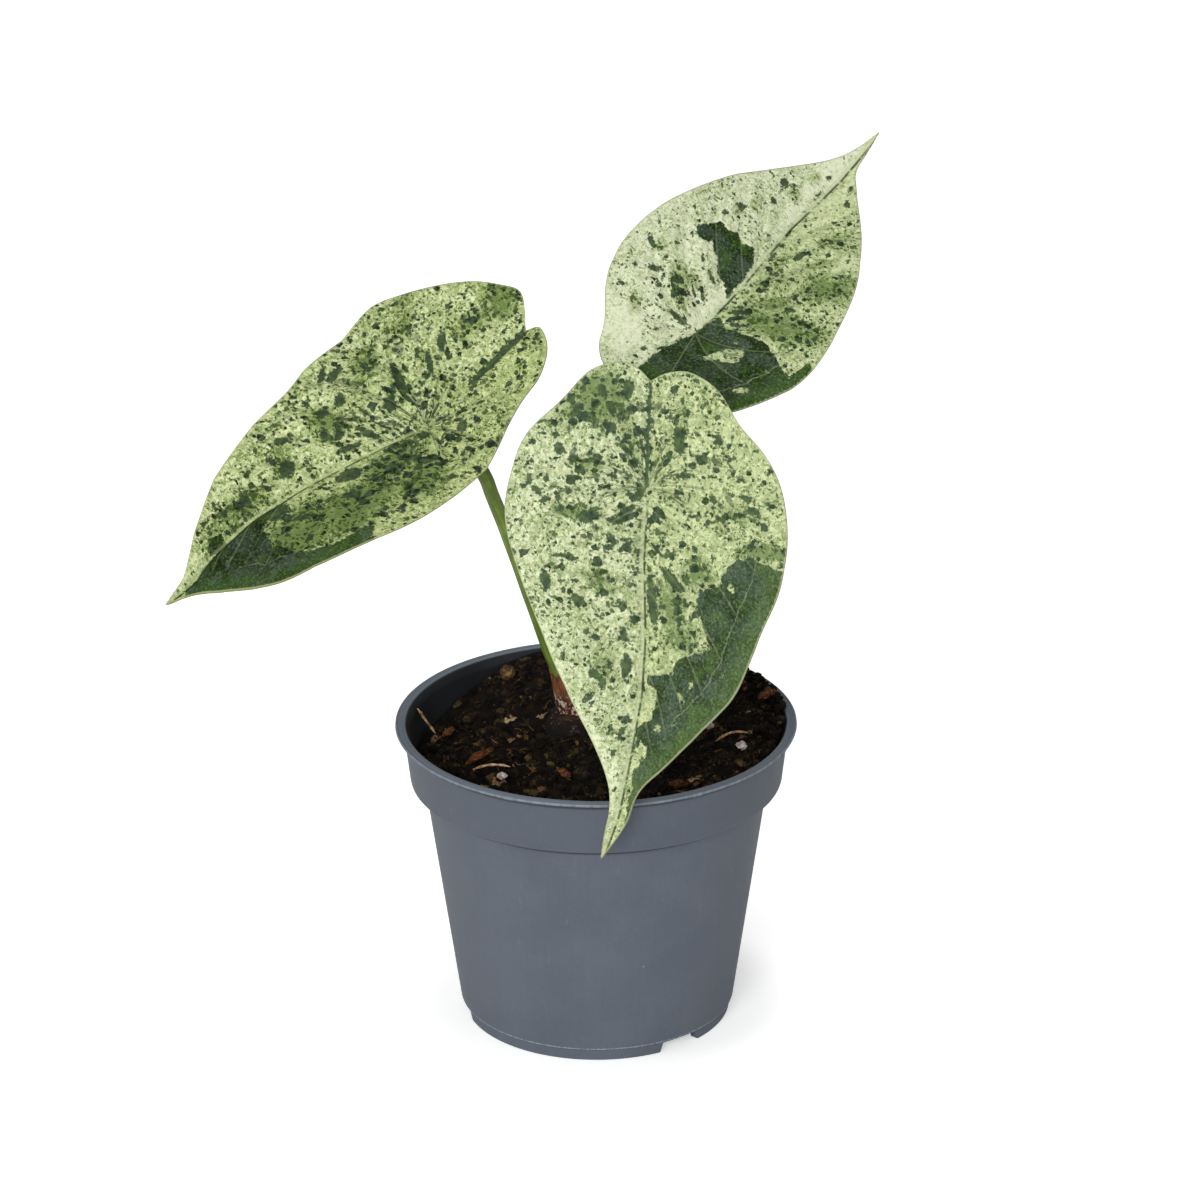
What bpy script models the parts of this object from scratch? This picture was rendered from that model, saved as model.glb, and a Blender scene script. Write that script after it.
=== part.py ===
# Potted elephant ear: a small variegated plant of three leaves in a 6 cm nursery pot.
# Metres, +Z up. The origin is the middle of the pot's underside, on the ground.

import math
import random

import bmesh
import bpy
import numpy as np
from mathutils import Matrix, Vector, noise

MM = 0.001
GAP = 0.3 * MM                  # clearance between neighbouring pieces

# Pot
POT_HEIGHT = 46.7 * MM
RIM_RADIUS = 30.0 * MM
RIM_INNER_RADIUS = 28.4 * MM
RIM_DEPTH = 0.5 * MM
COLLAR_RADIUS = 28.8 * MM       # under the rim
COLLAR_LOW_RADIUS = 27.8 * MM
COLLAR_HEIGHT = 37.6 * MM       # the step under the collar
BODY_RADIUS = 25.75 * MM        # at the step
BASE_RADIUS = 20.6 * MM
FOOT_RADIUS = 20.0 * MM
FOOT_HEIGHT = 2.0 * MM
FOOT_WIDTH = 1.4 * MM
PAD_RADIUS = 7.0 * MM           # flat middle of the underside
FLOOR_TOP = 3.2 * MM
WALL = 1.0 * MM
POT_SEGMENTS = 64
NOTCH_COUNT = 3
NOTCH_WIDTH = 7.0 * MM
NOTCH_HEIGHT = 1.5 * MM
NOTCH_ANGLE = -51.5             # degrees, of the first notch
DRAIN_RADIUS = 2.2 * MM
DRAIN_CIRCLE = 12.5 * MM

# Soil
SOIL_HEIGHT = 42.4 * MM         # in the middle of the pot
SOIL_RISE_X = 0.08
SOIL_RISE_Y = 0.12
SOIL_SWELLS = [                 # mounds and hollows: x, y, height and radius in millimetres
    (-9.0, 7.0, -2.6, 7.0),
    (-9.0, 24.0, 1.6, 8.0),
    (-21.0, 13.0, -1.0, 6.0),
    (25.0, 7.0, 1.5, 7.0),
    (26.0, -6.0, 1.4, 8.0),
]
SOIL_HEAP = 0.5 * MM            # how far the soil may rise over the rim
LUMP_HEIGHT = 0.45 * MM
LUMP_PITCH = 7.0 * MM
SOIL_SEGMENTS = 48
SOIL_RINGS = 11

# Stem base, dry sheath and petioles
STEM_PLACE = (-3.0 * MM, 10.3 * MM)
STEM_TOP = 44.0 * MM
STEM_TOP_RADIUS = 3.6 * MM
STEM_RADIUS = 5.0 * MM
STEM_BOTTOM = 34.0 * MM
STEM_SEGMENTS = 20
SHEATH_RADIUS = 3.9 * MM
SHEATH_ARC = (95.0, 305.0)      # degrees, wrapped round the left and the front
SHEATH_BOTTOM = 44.3 * MM
SHEATH_TOP = 50.0 * MM
SHEATH_THICKNESS = 0.4 * MM
PETIOLE_POINT_PITCH = 2.6 * MM
PETIOLE_BEVEL_RESOLUTION = 3

# Leaf blades
BLADE_THICKNESS = 0.6 * MM
BLADE_COLUMNS = 60              # around the outline
BLADE_ROWS = 8                  # from the petiole's foot to the outline
CREASE_RADIUS = 1.0 * MM        # how round the fold along the midrib is

# Each blade lies along its midrib: x runs from the petiole to the tip, y across it, in millimetres.
# heading, pitch and roll aim the midrib; bend, fold and sway give (x, value) pairs along it.
# plus and minus are the half outlines at +y and -y, from the notch behind the petiole to the tip.
LEAVES = {
    "front": {
        "place": (7.3, -12.0, 89.0), "heading": -104.0, "pitch": -60.0, "roll": 0.0,
        "bend": [(-20, 4), (0, 0), (30, -5), (60, -8)],
        "fold": [(-20, 8), (0, 10), (30, 14), (60, 20)],
        "sway": [(-16, -1.2), (0, 0), (10, 0.5), (22, 2.0), (30, 2.3), (40, 1.5), (48, 0.6), (54, -1)],
        "curl": 0.004,
        "plus": [(-15.9, 0), (-17.2, 2.5), (-17.4, 6), (-15, 10.4), (-10.1, 14), (-6, 18),
                 (-1.2, 20.7), (6, 22.1), (13, 21.3), (21, 17.8), (28.5, 15), (34.6, 10.5),
                 (40, 6.1), (44.1, 2.8), (49.3, 1.8), (54.2, 0)],
        "minus": [(-15.9, 0), (-17.6, 2.2), (-18.1, 5), (-16.4, 8.9), (-11.5, 12.9), (-6.6, 17.3),
                  (-2, 19.2), (5, 20.1), (12, 18.4), (21.8, 14.6), (30.3, 10.2), (37.9, 5),
                  (44.1, 1.7), (50, 0.8), (54.2, 0)],
        "green": (0.42, 0.52, 0.30),
    },
    "left": {
        "place": (-24.9, 0.0, 94.2), "heading": -140.0, "pitch": -14.0, "roll": -22.0,
        "bend": [(-20, -24), (0, -4), (30, -8), (60, -4)],
        "fold": [(-20, 8), (0, 12), (30, 14), (60, 18)],
        "sway": [(-22, -1.6), (-8, -1), (0, 0), (8, -1.5), (20, -3.3), (30, -4), (38, -3.0), (44, -1), (49, -0.6)],
        "curl": 0.006,
        "plus": [(-21.5, 0), (-23.2, 1.6), (-21.6, 5), (-17.6, 7.6), (-12.2, 8.9), (-4.7, 11.9),
                 (1.5, 14.2), (7.7, 16), (15.1, 16.8), (23.4, 15.8), (31.8, 14.2), (37.6, 11.3),
                 (41.9, 6), (44.6, 2.4), (48.8, 0)],
        "minus": [(-21.5, 0), (-23.6, 2.2), (-25.3, 5), (-24, 8), (-21.6, 11.5), (-18, 14.8),
                  (-12.7, 18.0), (-7.2, 19.7), (0.8, 18.4), (7.2, 16.7), (12.4, 14.4), (20.5, 11.8),
                  (30.2, 8), (38.9, 3.7), (44, 1.4), (48.8, 0)],
        "green": (0.36, 0.47, 0.26),
    },
    "right": {
        "place": (15.0, 11.0, 104.4), "heading": 53.0, "pitch": 18.0, "roll": 30.0,
        "bend": [(-20, -6), (0, 0), (30, -6), (60, 10)],
        "fold": [(-20, 8), (0, 12), (30, 14), (60, 20)],
        "sway": [(-13, 1.8), (0, 0), (12, 0.3), (28, 1.6), (42, 1.6), (53, 2.2)],
        "curl": 0.006,
        "plus": [(-12.6, 0), (-14.5, 1.3), (-16, 3.6), (-14.3, 6.4), (-9.6, 9.4), (-4.6, 13.6),
                 (0, 16.2), (6, 17.1), (14.1, 16.3), (24.9, 12.4), (33.4, 8.1), (43.5, 2.8),
                 (48.5, 1), (53.5, 0)],
        "minus": [(-12.6, 0), (-14.8, 2.6), (-16.4, 6.5), (-14, 11.7), (-9.2, 14.4), (-2, 16.5),
                  (5, 17.4), (14, 16.2), (23.6, 14.1), (32.4, 9.8), (40.8, 3.8), (44.8, 1.3),
                  (49, 0.6), (53.5, 0)],
        "green": (0.44, 0.54, 0.32),
    },
}

# Petiole routes in millimetres, from the stem base up; each ends under its own blade.
PETIOLES = {
    "front": {
        "route": [(-1.9, 8.8, 44.3), (-1.8, 8.8, 48), (-1.2, 9.2, 58), (0.8, 8.6, 70),
                  (3.8, 5.0, 80), (6.4, -2.0, 86)],
        "widths": (2.4, 1.9),
    },
    "left": {
        "route": [(-4.5, 10.0, 44.3), (-4.9, 9.8, 48), (-6.0, 9.2, 51.6), (-7.2, 8.6, 55.2),
                  (-10.3, 7.4, 65.5), (-13.2, 6.0, 75), (-15.2, 4.9, 81), (-16.1, 4.5, 83.4),
                  (-18.2, 3.9, 85.8), (-20.9, 3.2, 87.6), (-23.5, 2.3, 89.0)],
        "widths": (2.3, 2.2),
    },
    "right": {
        "route": [(-2.4, 12.1, 44.3), (-2.2, 12.3, 48), (-1.2, 13.6, 60), (2.8, 15.2, 76),
                  (8.6, 14.6, 91), (12.2, 13.0, 99)],
        "widths": (2.4, 1.8),
    },
}
APPROACH = 3.2                  # millimetres from the blade where a petiole turns square to it

# Loose pieces on the soil: place (x, y) and size in millimetres, turn in degrees.
# A rootlet's points are x, y and how far it lifts off the soil there.
BARK_CHIPS = [
    ((-17.4, -1.2), (4.2, 1.8, 1.1), 25),
    ((-22.2, 6.4), (3.0, 1.6, 1.0), 70),
    ((25.6, 6.6), (3.4, 2.2, 1.3), 60),
    ((20.8, 12.6), (3.8, 1.6, 1.2), -20),
    ((12.0, -14.0), (3.0, 1.8, 1.0), 10),
    ((-4.8, -8.6), (2.8, 1.9, 1.0), -50),
]
PERLITE_GRAINS = [
    ((-14.0, -8.2), (1.7, 1.4, 1.2), 0),
    ((16.8, 0.6), (2.2, 1.8, 1.5), 40),
    ((21.6, -7.0), (1.9, 1.5, 1.3), 15),
    ((3.4, -6.4), (1.5, 1.3, 1.1), 80),
]
PRILL_PLACE = (-13.4, 18.4)
PRILL_DIAMETER = 2.6 * MM
ROOTLETS = [
    [(-24.2, 6.9, 0.0), (-25.3, 6.4, 2.0), (-26.8, 5.8, 4.8)],
    [(-18.4, -4.6, 0.0), (-15.6, -4.2, 0.4), (-12.8, -5.0, 0.1)],
    [(17.8, -3.4, 0.1), (20.2, -2.4, 0.5), (22.6, -2.9, 0.0)],
]
ROOTLET_DIAMETER = 0.5 * MM


def clear_scene():
    """Empty the scene before the plant is built."""
    for item in list(bpy.data.objects):
        bpy.data.objects.remove(item, do_unlink=True)


def material(name, color, roughness):
    """A plain Principled material of one colour."""
    made = bpy.data.materials.get(name) or bpy.data.materials.new(name)
    made.use_nodes = True
    made.diffuse_color = (*color, 1.0)
    shader = made.node_tree.nodes["Principled BSDF"]
    shader.inputs["Base Color"].default_value = (*color, 1.0)
    shader.inputs["Roughness"].default_value = roughness
    shader.inputs["Metallic"].default_value = 0.0
    return made


def place_object(name, data, finish, smooth_angle=40.0):
    """Link a mesh or curve as one named sub-part."""
    item = bpy.data.objects.new(name, data)
    bpy.context.scene.collection.objects.link(item)
    data.materials.append(finish)
    if isinstance(data, bpy.types.Mesh):
        data.shade_smooth()
        data.set_sharp_from_angle(angle=math.radians(smooth_angle))
    return item


def mesh_from(name, work):
    """Turn a bmesh into mesh data with its faces pointing out."""
    bmesh.ops.recalc_face_normals(work, faces=work.faces)
    mesh = bpy.data.meshes.new(name)
    work.to_mesh(mesh)
    work.free()
    return mesh


def wrapped_grid(columns, rows, place):
    """A grid whose columns run round a loop: place(s, t) puts each of its points.

    s goes once round from 0 to 1 and t runs along the rows. Points that meet are welded.
    """
    work = bmesh.new()
    bmesh.ops.create_grid(work, x_segments=columns, y_segments=rows, size=0.5)
    for vert in work.verts:
        vert.co = place(vert.co.x + 0.5, vert.co.y + 0.5)
    bmesh.ops.remove_doubles(work, verts=work.verts, dist=0.002 * MM)
    return work


def turned(profile, segments, center=(0.0, 0.0)):
    """A body of revolution from (radius, height) points that start and end on the axis."""
    work = bmesh.new()
    verts = [work.verts.new((radius, 0.0, height)) for radius, height in profile]
    edges = [work.edges.new(pair) for pair in zip(verts, verts[1:])]
    bmesh.ops.spin(work, geom=verts + edges, cent=(0, 0, 0), axis=(0, 0, 1),
                   angle=math.tau, steps=segments, use_merge=True)
    bmesh.ops.remove_doubles(work, verts=work.verts, dist=0.002 * MM)
    bmesh.ops.translate(work, verts=work.verts, vec=(center[0], center[1], 0.0))
    return work


def smooth_path(points, pitch):
    """Evenly spaced points along a Catmull-Rom curve through the given ones."""
    knots = np.array(points, float)
    padded = np.vstack([2 * knots[0] - knots[1], knots, 2 * knots[-1] - knots[-2]])
    dense = [knots[0]]
    for a, b, c, d in zip(padded, padded[1:], padded[2:], padded[3:]):
        for step in range(1, 21):
            t = step / 20
            dense.append(0.5 * (2 * b + (c - a) * t + (2 * a - 5 * b + 4 * c - d) * t * t
                                + (3 * b - a - 3 * c + d) * t ** 3))
    dense = np.array(dense)
    length = np.concatenate([[0], np.cumsum(np.linalg.norm(np.diff(dense, axis=0), axis=1))])
    count = max(2, round(length[-1] / pitch)) + 1
    even = np.linspace(0, length[-1], count)
    return np.stack([np.interp(even, length, dense[:, k]) for k in range(dense.shape[1])], axis=1)


def tube(name, points, radii, finish, resolution):
    """A round stem through the points, with flat ends."""
    curve = bpy.data.curves.new(name, "CURVE")
    curve.dimensions = "3D"
    curve.bevel_depth = 1.0
    curve.bevel_resolution = resolution
    curve.use_fill_caps = True
    spline = curve.splines.new("POLY")
    spline.points.add(len(points) - 1)
    for knot, place, radius in zip(spline.points, points, radii):
        knot.co = (*place, 1.0)
        knot.radius = radius
    return place_object(name, curve, finish)


def cut(item, cutters):
    """Take the cutters out of a body."""
    for cutter in cutters:
        cutter.hide_render = True
        cutter.display_type = "WIRE"
        boolean = item.modifiers.new("Cut " + cutter.name, "BOOLEAN")
        boolean.operation = "DIFFERENCE"
        boolean.solver = "EXACT"
        boolean.object = cutter


def cutter_from(name, work):
    """A guide body that only cuts."""
    item = bpy.data.objects.new(name, mesh_from(name, work))
    bpy.context.scene.collection.objects.link(item)
    return item


def build_pot():
    """The nursery pot: rim, stepped collar, tapering body and a notched foot ring."""
    inner_step = COLLAR_HEIGHT - 1.2 * WALL
    foot_inner = FOOT_RADIUS - FOOT_WIDTH
    recess = 0.9 * FOOT_HEIGHT
    profile = [
        (0, 0),
        (PAD_RADIUS, 0),
        (PAD_RADIUS + 0.5 * MM, recess),
        (foot_inner, recess),
        (foot_inner, 0),
        (FOOT_RADIUS, 0),
        (FOOT_RADIUS, FOOT_HEIGHT - 0.3 * MM),
        (BASE_RADIUS, FOOT_HEIGHT),
        (BODY_RADIUS, COLLAR_HEIGHT),
        (COLLAR_LOW_RADIUS, COLLAR_HEIGHT + 0.2 * MM),
        (COLLAR_RADIUS, POT_HEIGHT - RIM_DEPTH),
        (RIM_RADIUS - 0.1 * MM, POT_HEIGHT - RIM_DEPTH),
        (RIM_RADIUS, POT_HEIGHT - 0.5 * RIM_DEPTH),
        (RIM_RADIUS - 0.15 * MM, POT_HEIGHT - 0.05 * MM),
        (RIM_RADIUS - 0.6 * MM, POT_HEIGHT),
        (RIM_INNER_RADIUS, POT_HEIGHT - 0.1 * MM),
        (COLLAR_RADIUS - WALL, POT_HEIGHT - RIM_DEPTH),
        (COLLAR_LOW_RADIUS - WALL, inner_step + 1.0 * MM),
        (BODY_RADIUS - WALL, inner_step),
        (BASE_RADIUS - WALL, FLOOR_TOP + 0.6 * MM),
        (BASE_RADIUS - 1.8 * WALL, FLOOR_TOP),
        (0, FLOOR_TOP),
    ]
    pot = place_object("pot", mesh_from("pot", turned(profile, POT_SEGMENTS)),
                       material("pot", (0.115, 0.128, 0.152), 0.5))

    notches = bmesh.new()
    drains = bmesh.new()
    for index in range(NOTCH_COUNT):
        turn = Matrix.Rotation(math.radians(NOTCH_ANGLE + 360 * index / NOTCH_COUNT), 4, "Z")
        size = Matrix.Diagonal((4 * FOOT_WIDTH, NOTCH_WIDTH, 2 * NOTCH_HEIGHT, 1))
        out = Matrix.Translation((FOOT_RADIUS - 0.4 * FOOT_WIDTH, 0, 0))
        bmesh.ops.create_cube(notches, size=1, matrix=turn @ out @ size)
        bmesh.ops.create_cone(drains, segments=16, radius1=DRAIN_RADIUS, radius2=DRAIN_RADIUS,
                              depth=4 * FLOOR_TOP, cap_ends=True,
                              matrix=turn @ Matrix.Translation((DRAIN_CIRCLE, 0, FLOOR_TOP)))
    cut(pot, [cutter_from("foot notches", notches), cutter_from("drain holes", drains)])
    return pot


def soil_height(x, y):
    """Height of the soil's surface: it slopes, with mounds, a hollow beside the stem and lumps."""
    height = SOIL_HEIGHT + SOIL_RISE_X * x + SOIL_RISE_Y * y
    for swell_x, swell_y, swell, radius in SOIL_SWELLS:
        away = math.hypot(x / MM - swell_x, y / MM - swell_y) / radius
        height += swell * MM * math.exp(-away * away)
    height += LUMP_HEIGHT * noise.noise(Vector((x, y, 0.0)) / LUMP_PITCH)
    return min(height, POT_HEIGHT + SOIL_HEAP)


def pot_inner_radius(height):
    """Radius of the pot's inside at a height."""
    heights = [FLOOR_TOP, COLLAR_HEIGHT - 1.2 * WALL, COLLAR_HEIGHT - 0.2 * WALL,
               POT_HEIGHT - RIM_DEPTH, POT_HEIGHT]
    radii = [BASE_RADIUS - 1.8 * WALL, BODY_RADIUS - WALL, COLLAR_LOW_RADIUS - WALL,
             COLLAR_RADIUS - WALL, RIM_INNER_RADIUS]
    return float(np.interp(height, heights, radii))


def build_soil():
    """The root ball: it fills the pot up to a lumpy surface, with a pocket for the stem base."""
    side_heights = [COLLAR_HEIGHT + 0.6 * MM, COLLAR_HEIGHT - 1.6 * WALL, FLOOR_TOP + GAP]
    rows = SOIL_RINGS + len(side_heights) + 1
    inset = GAP + 0.1 * MM

    def place(s, t):
        row = round(t * rows)
        angle = math.tau * s
        if row <= SOIL_RINGS:
            rim = pot_inner_radius(SOIL_HEIGHT) - inset
            radius = rim * row / SOIL_RINGS
            x, y = radius * math.cos(angle), radius * math.sin(angle)
            return Vector((x, y, soil_height(x, y)))
        if row == rows:
            return Vector((0, 0, side_heights[-1]))
        height = side_heights[row - SOIL_RINGS - 1]
        radius = pot_inner_radius(height) - inset
        return Vector((radius * math.cos(angle), radius * math.sin(angle), height))

    soil = place_object("soil", mesh_from("soil", wrapped_grid(SOIL_SEGMENTS, rows, place)),
                        material("soil", (0.020, 0.013, 0.009), 0.95))
    pocket = turned(stem_profile(GAP + 0.05 * MM, SOIL_HEIGHT + 6 * MM), STEM_SEGMENTS, STEM_PLACE)
    cut(soil, [cutter_from("stem pocket", pocket)])
    return soil


def stem_profile(grow, top):
    """Half section of the stem base, grown by a clearance and carried up to a height."""
    height = STEM_TOP - STEM_BOTTOM
    return [(0, STEM_BOTTOM - grow),
            (0.55 * STEM_RADIUS + grow, STEM_BOTTOM + 0.06 * height - grow),
            (0.88 * STEM_RADIUS + grow, STEM_BOTTOM + 0.24 * height),
            (STEM_RADIUS + grow, STEM_BOTTOM + 0.48 * height),
            (0.93 * STEM_RADIUS + grow, STEM_BOTTOM + 0.76 * height),
            (STEM_TOP_RADIUS + grow, top - 0.4 * MM),
            (STEM_TOP_RADIUS + grow - 0.4 * MM, top),
            (0, top)]


def build_stem_base():
    """The short rounded stem that the petioles grow from, half buried."""
    stem = turned(stem_profile(0.0, STEM_TOP), STEM_SEGMENTS, STEM_PLACE)
    return place_object("stem_base", mesh_from("stem_base", stem), material("stem_base", (0.12, 0.055, 0.03), 0.85))


def build_dry_sheath():
    """The papery remains of an old leaf sheath, wrapped round the petioles' feet."""
    rng = random.Random(5)
    tears = [rng.uniform(-1.6, 0.4) * MM for _ in range(15)]
    work = bmesh.new()
    bmesh.ops.create_grid(work, x_segments=14, y_segments=4, size=0.5)
    start, end = (math.radians(value) for value in SHEATH_ARC)
    for vert in work.verts:
        s, t = vert.co.x + 0.5, vert.co.y + 0.5
        angle = start + (end - start) * s
        radius = SHEATH_RADIUS + 0.3 * MM * t * t
        top = SHEATH_TOP + tears[round(s * 14)]
        vert.co = (STEM_PLACE[0] - 0.4 * MM * t + radius * math.cos(angle),
                   STEM_PLACE[1] + radius * math.sin(angle),
                   SHEATH_BOTTOM + t * (top - SHEATH_BOTTOM))
    sheath = place_object("dry_sheath", mesh_from("dry_sheath", work),
                          material("dry_sheath", (0.36, 0.16, 0.08), 0.8))
    skin = sheath.modifiers.new("Paper", "SOLIDIFY")
    skin.thickness = SHEATH_THICKNESS
    skin.offset = 0
    return sheath


def leaf_axes(leaf):
    """The blade's own directions: along the midrib, across it and out of its upper face."""
    heading, pitch, roll = (math.radians(leaf[key]) for key in ("heading", "pitch", "roll"))
    along = Vector((math.cos(pitch) * math.cos(heading), math.cos(pitch) * math.sin(heading), math.sin(pitch)))
    level = Vector((-math.sin(heading), math.cos(heading), 0))
    up = along.cross(level)
    across = math.cos(roll) * level + math.sin(roll) * up
    return along, across, along.cross(across)


def blade_surface(leaf):
    """A function that puts blade point (x, y) in space: bent along the midrib and folded across it."""
    along, across, up = leaf_axes(leaf)
    stations = np.linspace(-30, 60, 361)
    slopes = np.radians(np.interp(stations, *zip(*leaf["bend"])))
    middle = (slopes[1:] + slopes[:-1]) / 2
    step = stations[1] - stations[0]
    run = np.concatenate([[0], np.cumsum(np.cos(middle) * step)])
    rise = np.concatenate([[0], np.cumsum(np.sin(middle) * step)])
    run -= np.interp(0, stations, run)
    rise -= np.interp(0, stations, rise)
    origin = Vector(leaf["place"])
    crease = CREASE_RADIUS / MM

    def place(x, y):
        slope = float(np.interp(x, stations, slopes))
        fold = math.radians(float(np.interp(x, *zip(*leaf["fold"]))))
        lift = math.tan(fold) * (math.hypot(y, crease) - crease)
        lift -= leaf["curl"] * max(0.0, abs(y) - 6) ** 2
        forward = float(np.interp(x, stations, run)) - lift * math.sin(slope)
        height = float(np.interp(x, stations, rise)) + lift * math.cos(slope)
        side = y + float(np.interp(x, *zip(*leaf["sway"])))
        return (origin + forward * along + side * across + height * up) * MM

    return place


def build_leaf(name, leaf):
    """One heart-shaped blade, held where its petiole meets it."""
    plus = smooth_path(leaf["plus"], 0.5)
    minus = smooth_path(leaf["minus"], 0.5) * (1, -1)
    half = BLADE_COLUMNS // 2
    sides = [side[np.linspace(0, len(side) - 1, half + 1).round().astype(int)] for side in (plus, minus)]
    outline = np.vstack([sides[0], sides[1][::-1][1:]])
    surface = blade_surface(leaf)

    def place(s, t):
        x, y = outline[round(s * BLADE_COLUMNS)] * t ** 0.9
        return surface(float(x), float(y))

    blade = place_object("leaf_" + name, mesh_from("leaf_" + name, wrapped_grid(BLADE_COLUMNS, BLADE_ROWS, place)),
                         material("leaf_" + name, leaf["green"], 0.4))
    upper = leaf_axes(leaf)[2]
    facing = sum((polygon.normal * polygon.area for polygon in blade.data.polygons), Vector())
    if facing.dot(upper) < 0:
        blade.data.flip_normals()
    skin = blade.modifiers.new("Blade", "SOLIDIFY")
    skin.thickness = BLADE_THICKNESS
    skin.offset = -1
    return blade


def build_petiole(name, petiole):
    """A leaf stalk from the stem base to the underside of its blade."""
    leaf = LEAVES[name]
    upper = leaf_axes(leaf)[2]
    foot = Vector(leaf["place"])
    clear = (BLADE_THICKNESS + GAP) / MM + 0.1
    route = list(petiole["route"])
    route += [tuple(foot - upper * APPROACH), tuple(foot - upper * clear)]
    points = smooth_path(np.array(route) * MM, PETIOLE_POINT_PITCH)
    base, top = (width / 2 * MM for width in petiole["widths"])
    spread = [(1 - step / (len(points) - 1)) ** 2 for step in range(len(points))]
    radii = [top + (base - top) * share for share in spread]
    return tube("petiole_" + name, points, radii, material("petiole", (0.19, 0.27, 0.06), 0.45),
                PETIOLE_BEVEL_RESOLUTION)


def lay_on_soil(x, y, reach, half_height):
    """Height of a loose piece's middle when it rests on the soil's highest point under it."""
    tops = [soil_height(x + reach * math.cos(k * math.tau / 8), y + reach * math.sin(k * math.tau / 8))
            for k in range(8)]
    return max([*tops, soil_height(x, y)]) + half_height + GAP


def build_crumb(name, place, size, turn, finish, rng):
    """An uneven lump of the given length, width and thickness."""
    work = bmesh.new()
    bmesh.ops.create_icosphere(work, subdivisions=1, radius=1)
    for vert in work.verts:
        vert.co *= rng.uniform(0.78, 1.0)
        vert.co = Vector((vert.co.x * size[0], vert.co.y * size[1], vert.co.z * size[2])) * MM / 2
    crumb = place_object(name, mesh_from(name, work), finish, 20)
    x, y = place[0] * MM, place[1] * MM
    crumb.location = (x, y, lay_on_soil(x, y, 0.5 * size[0] * MM, 0.5 * size[2] * MM))
    crumb.rotation_euler.z = math.radians(turn)
    return crumb


def build_loose_pieces():
    """Bark, perlite, one fertiliser prill and rootlets that lie on the soil."""
    rng = random.Random(11)
    bark = material("bark", (0.12, 0.055, 0.028), 0.9)
    perlite = material("perlite", (0.55, 0.50, 0.46), 0.9)
    for number, (place, size, turn) in enumerate(BARK_CHIPS, 1):
        build_crumb(f"bark_chip_{number}", place, size, turn, bark, rng)
    for number, (place, size, turn) in enumerate(PERLITE_GRAINS, 1):
        build_crumb(f"perlite_{number}", place, size, turn, perlite, rng)

    work = bmesh.new()
    bmesh.ops.create_uvsphere(work, u_segments=12, v_segments=8, radius=PRILL_DIAMETER / 2)
    prill = place_object("fertiliser_prill", mesh_from("fertiliser_prill", work),
                         material("fertiliser_prill", (0.27, 0.17, 0.05), 0.6))
    x, y = PRILL_PLACE[0] * MM, PRILL_PLACE[1] * MM
    prill.location = (x, y, lay_on_soil(x, y, 0.4 * PRILL_DIAMETER, 0.5 * PRILL_DIAMETER))

    root = material("rootlet", (0.42, 0.32, 0.20), 0.85)
    for number, route in enumerate(ROOTLETS, 1):
        points = [Vector(point) * MM for point in smooth_path(route, 1.2)]
        for point in points:
            point.z += soil_height(point.x, point.y) + ROOTLET_DIAMETER / 2 + GAP
        tube(f"rootlet_{number}", points, [ROOTLET_DIAMETER / 2] * len(points), root, 1)


def main():
    clear_scene()
    build_pot()
    build_soil()
    build_stem_base()
    build_dry_sheath()
    for name, leaf in LEAVES.items():
        build_leaf(name, leaf)
    for name, petiole in PETIOLES.items():
        build_petiole(name, petiole)
    build_loose_pieces()


main()
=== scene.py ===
import math
import random

import bmesh
import bpy
import numpy as np
from mathutils import Euler, Matrix, Vector, noise


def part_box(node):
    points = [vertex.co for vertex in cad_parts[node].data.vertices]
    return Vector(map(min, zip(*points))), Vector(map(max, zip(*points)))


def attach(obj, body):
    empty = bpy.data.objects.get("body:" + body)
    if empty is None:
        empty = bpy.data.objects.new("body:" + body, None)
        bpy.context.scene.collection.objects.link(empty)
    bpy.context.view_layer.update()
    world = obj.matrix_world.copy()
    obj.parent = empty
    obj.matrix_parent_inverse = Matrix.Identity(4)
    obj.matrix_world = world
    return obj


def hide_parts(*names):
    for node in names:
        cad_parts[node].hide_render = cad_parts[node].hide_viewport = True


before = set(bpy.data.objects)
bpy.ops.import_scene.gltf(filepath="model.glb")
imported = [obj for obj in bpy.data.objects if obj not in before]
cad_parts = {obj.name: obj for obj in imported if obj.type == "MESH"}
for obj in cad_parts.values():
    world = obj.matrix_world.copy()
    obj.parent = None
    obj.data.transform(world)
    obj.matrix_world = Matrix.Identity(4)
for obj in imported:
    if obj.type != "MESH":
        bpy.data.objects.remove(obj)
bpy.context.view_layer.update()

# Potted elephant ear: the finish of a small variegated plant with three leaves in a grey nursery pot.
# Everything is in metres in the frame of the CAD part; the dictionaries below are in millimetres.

mm = 0.001
weld = 0.002        # points closer than this, in millimetres, become one


def tone(red, green, blue):
    # a screen colour of 0 to 255 as the linear colour that shaders want
    return tuple((value / 255 / 12.92) if value < 11 else ((value / 255 + 0.055) / 1.055) ** 2.4
                 for value in (red, green, blue)) + (1.0,)


class Amount:
    # what a node puts out: reckoning with it adds the nodes that work the result out
    def __init__(self, wires, socket):
        self.wires = wires
        self.socket = socket

    def __add__(self, other):
        return self.wires.calc("ADD", self, other)

    def __radd__(self, other):
        return self.wires.calc("ADD", other, self)

    def __sub__(self, other):
        return self.wires.calc("SUBTRACT", self, other)

    def __rsub__(self, other):
        return self.wires.calc("SUBTRACT", other, self)

    def __mul__(self, other):
        return self.wires.calc("MULTIPLY", self, other)

    def __rmul__(self, other):
        return self.wires.calc("MULTIPLY", other, self)

    def __truediv__(self, other):
        return self.wires.calc("DIVIDE", self, other)

    def __abs__(self):
        return self.wires.calc("ABSOLUTE", self)


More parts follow.
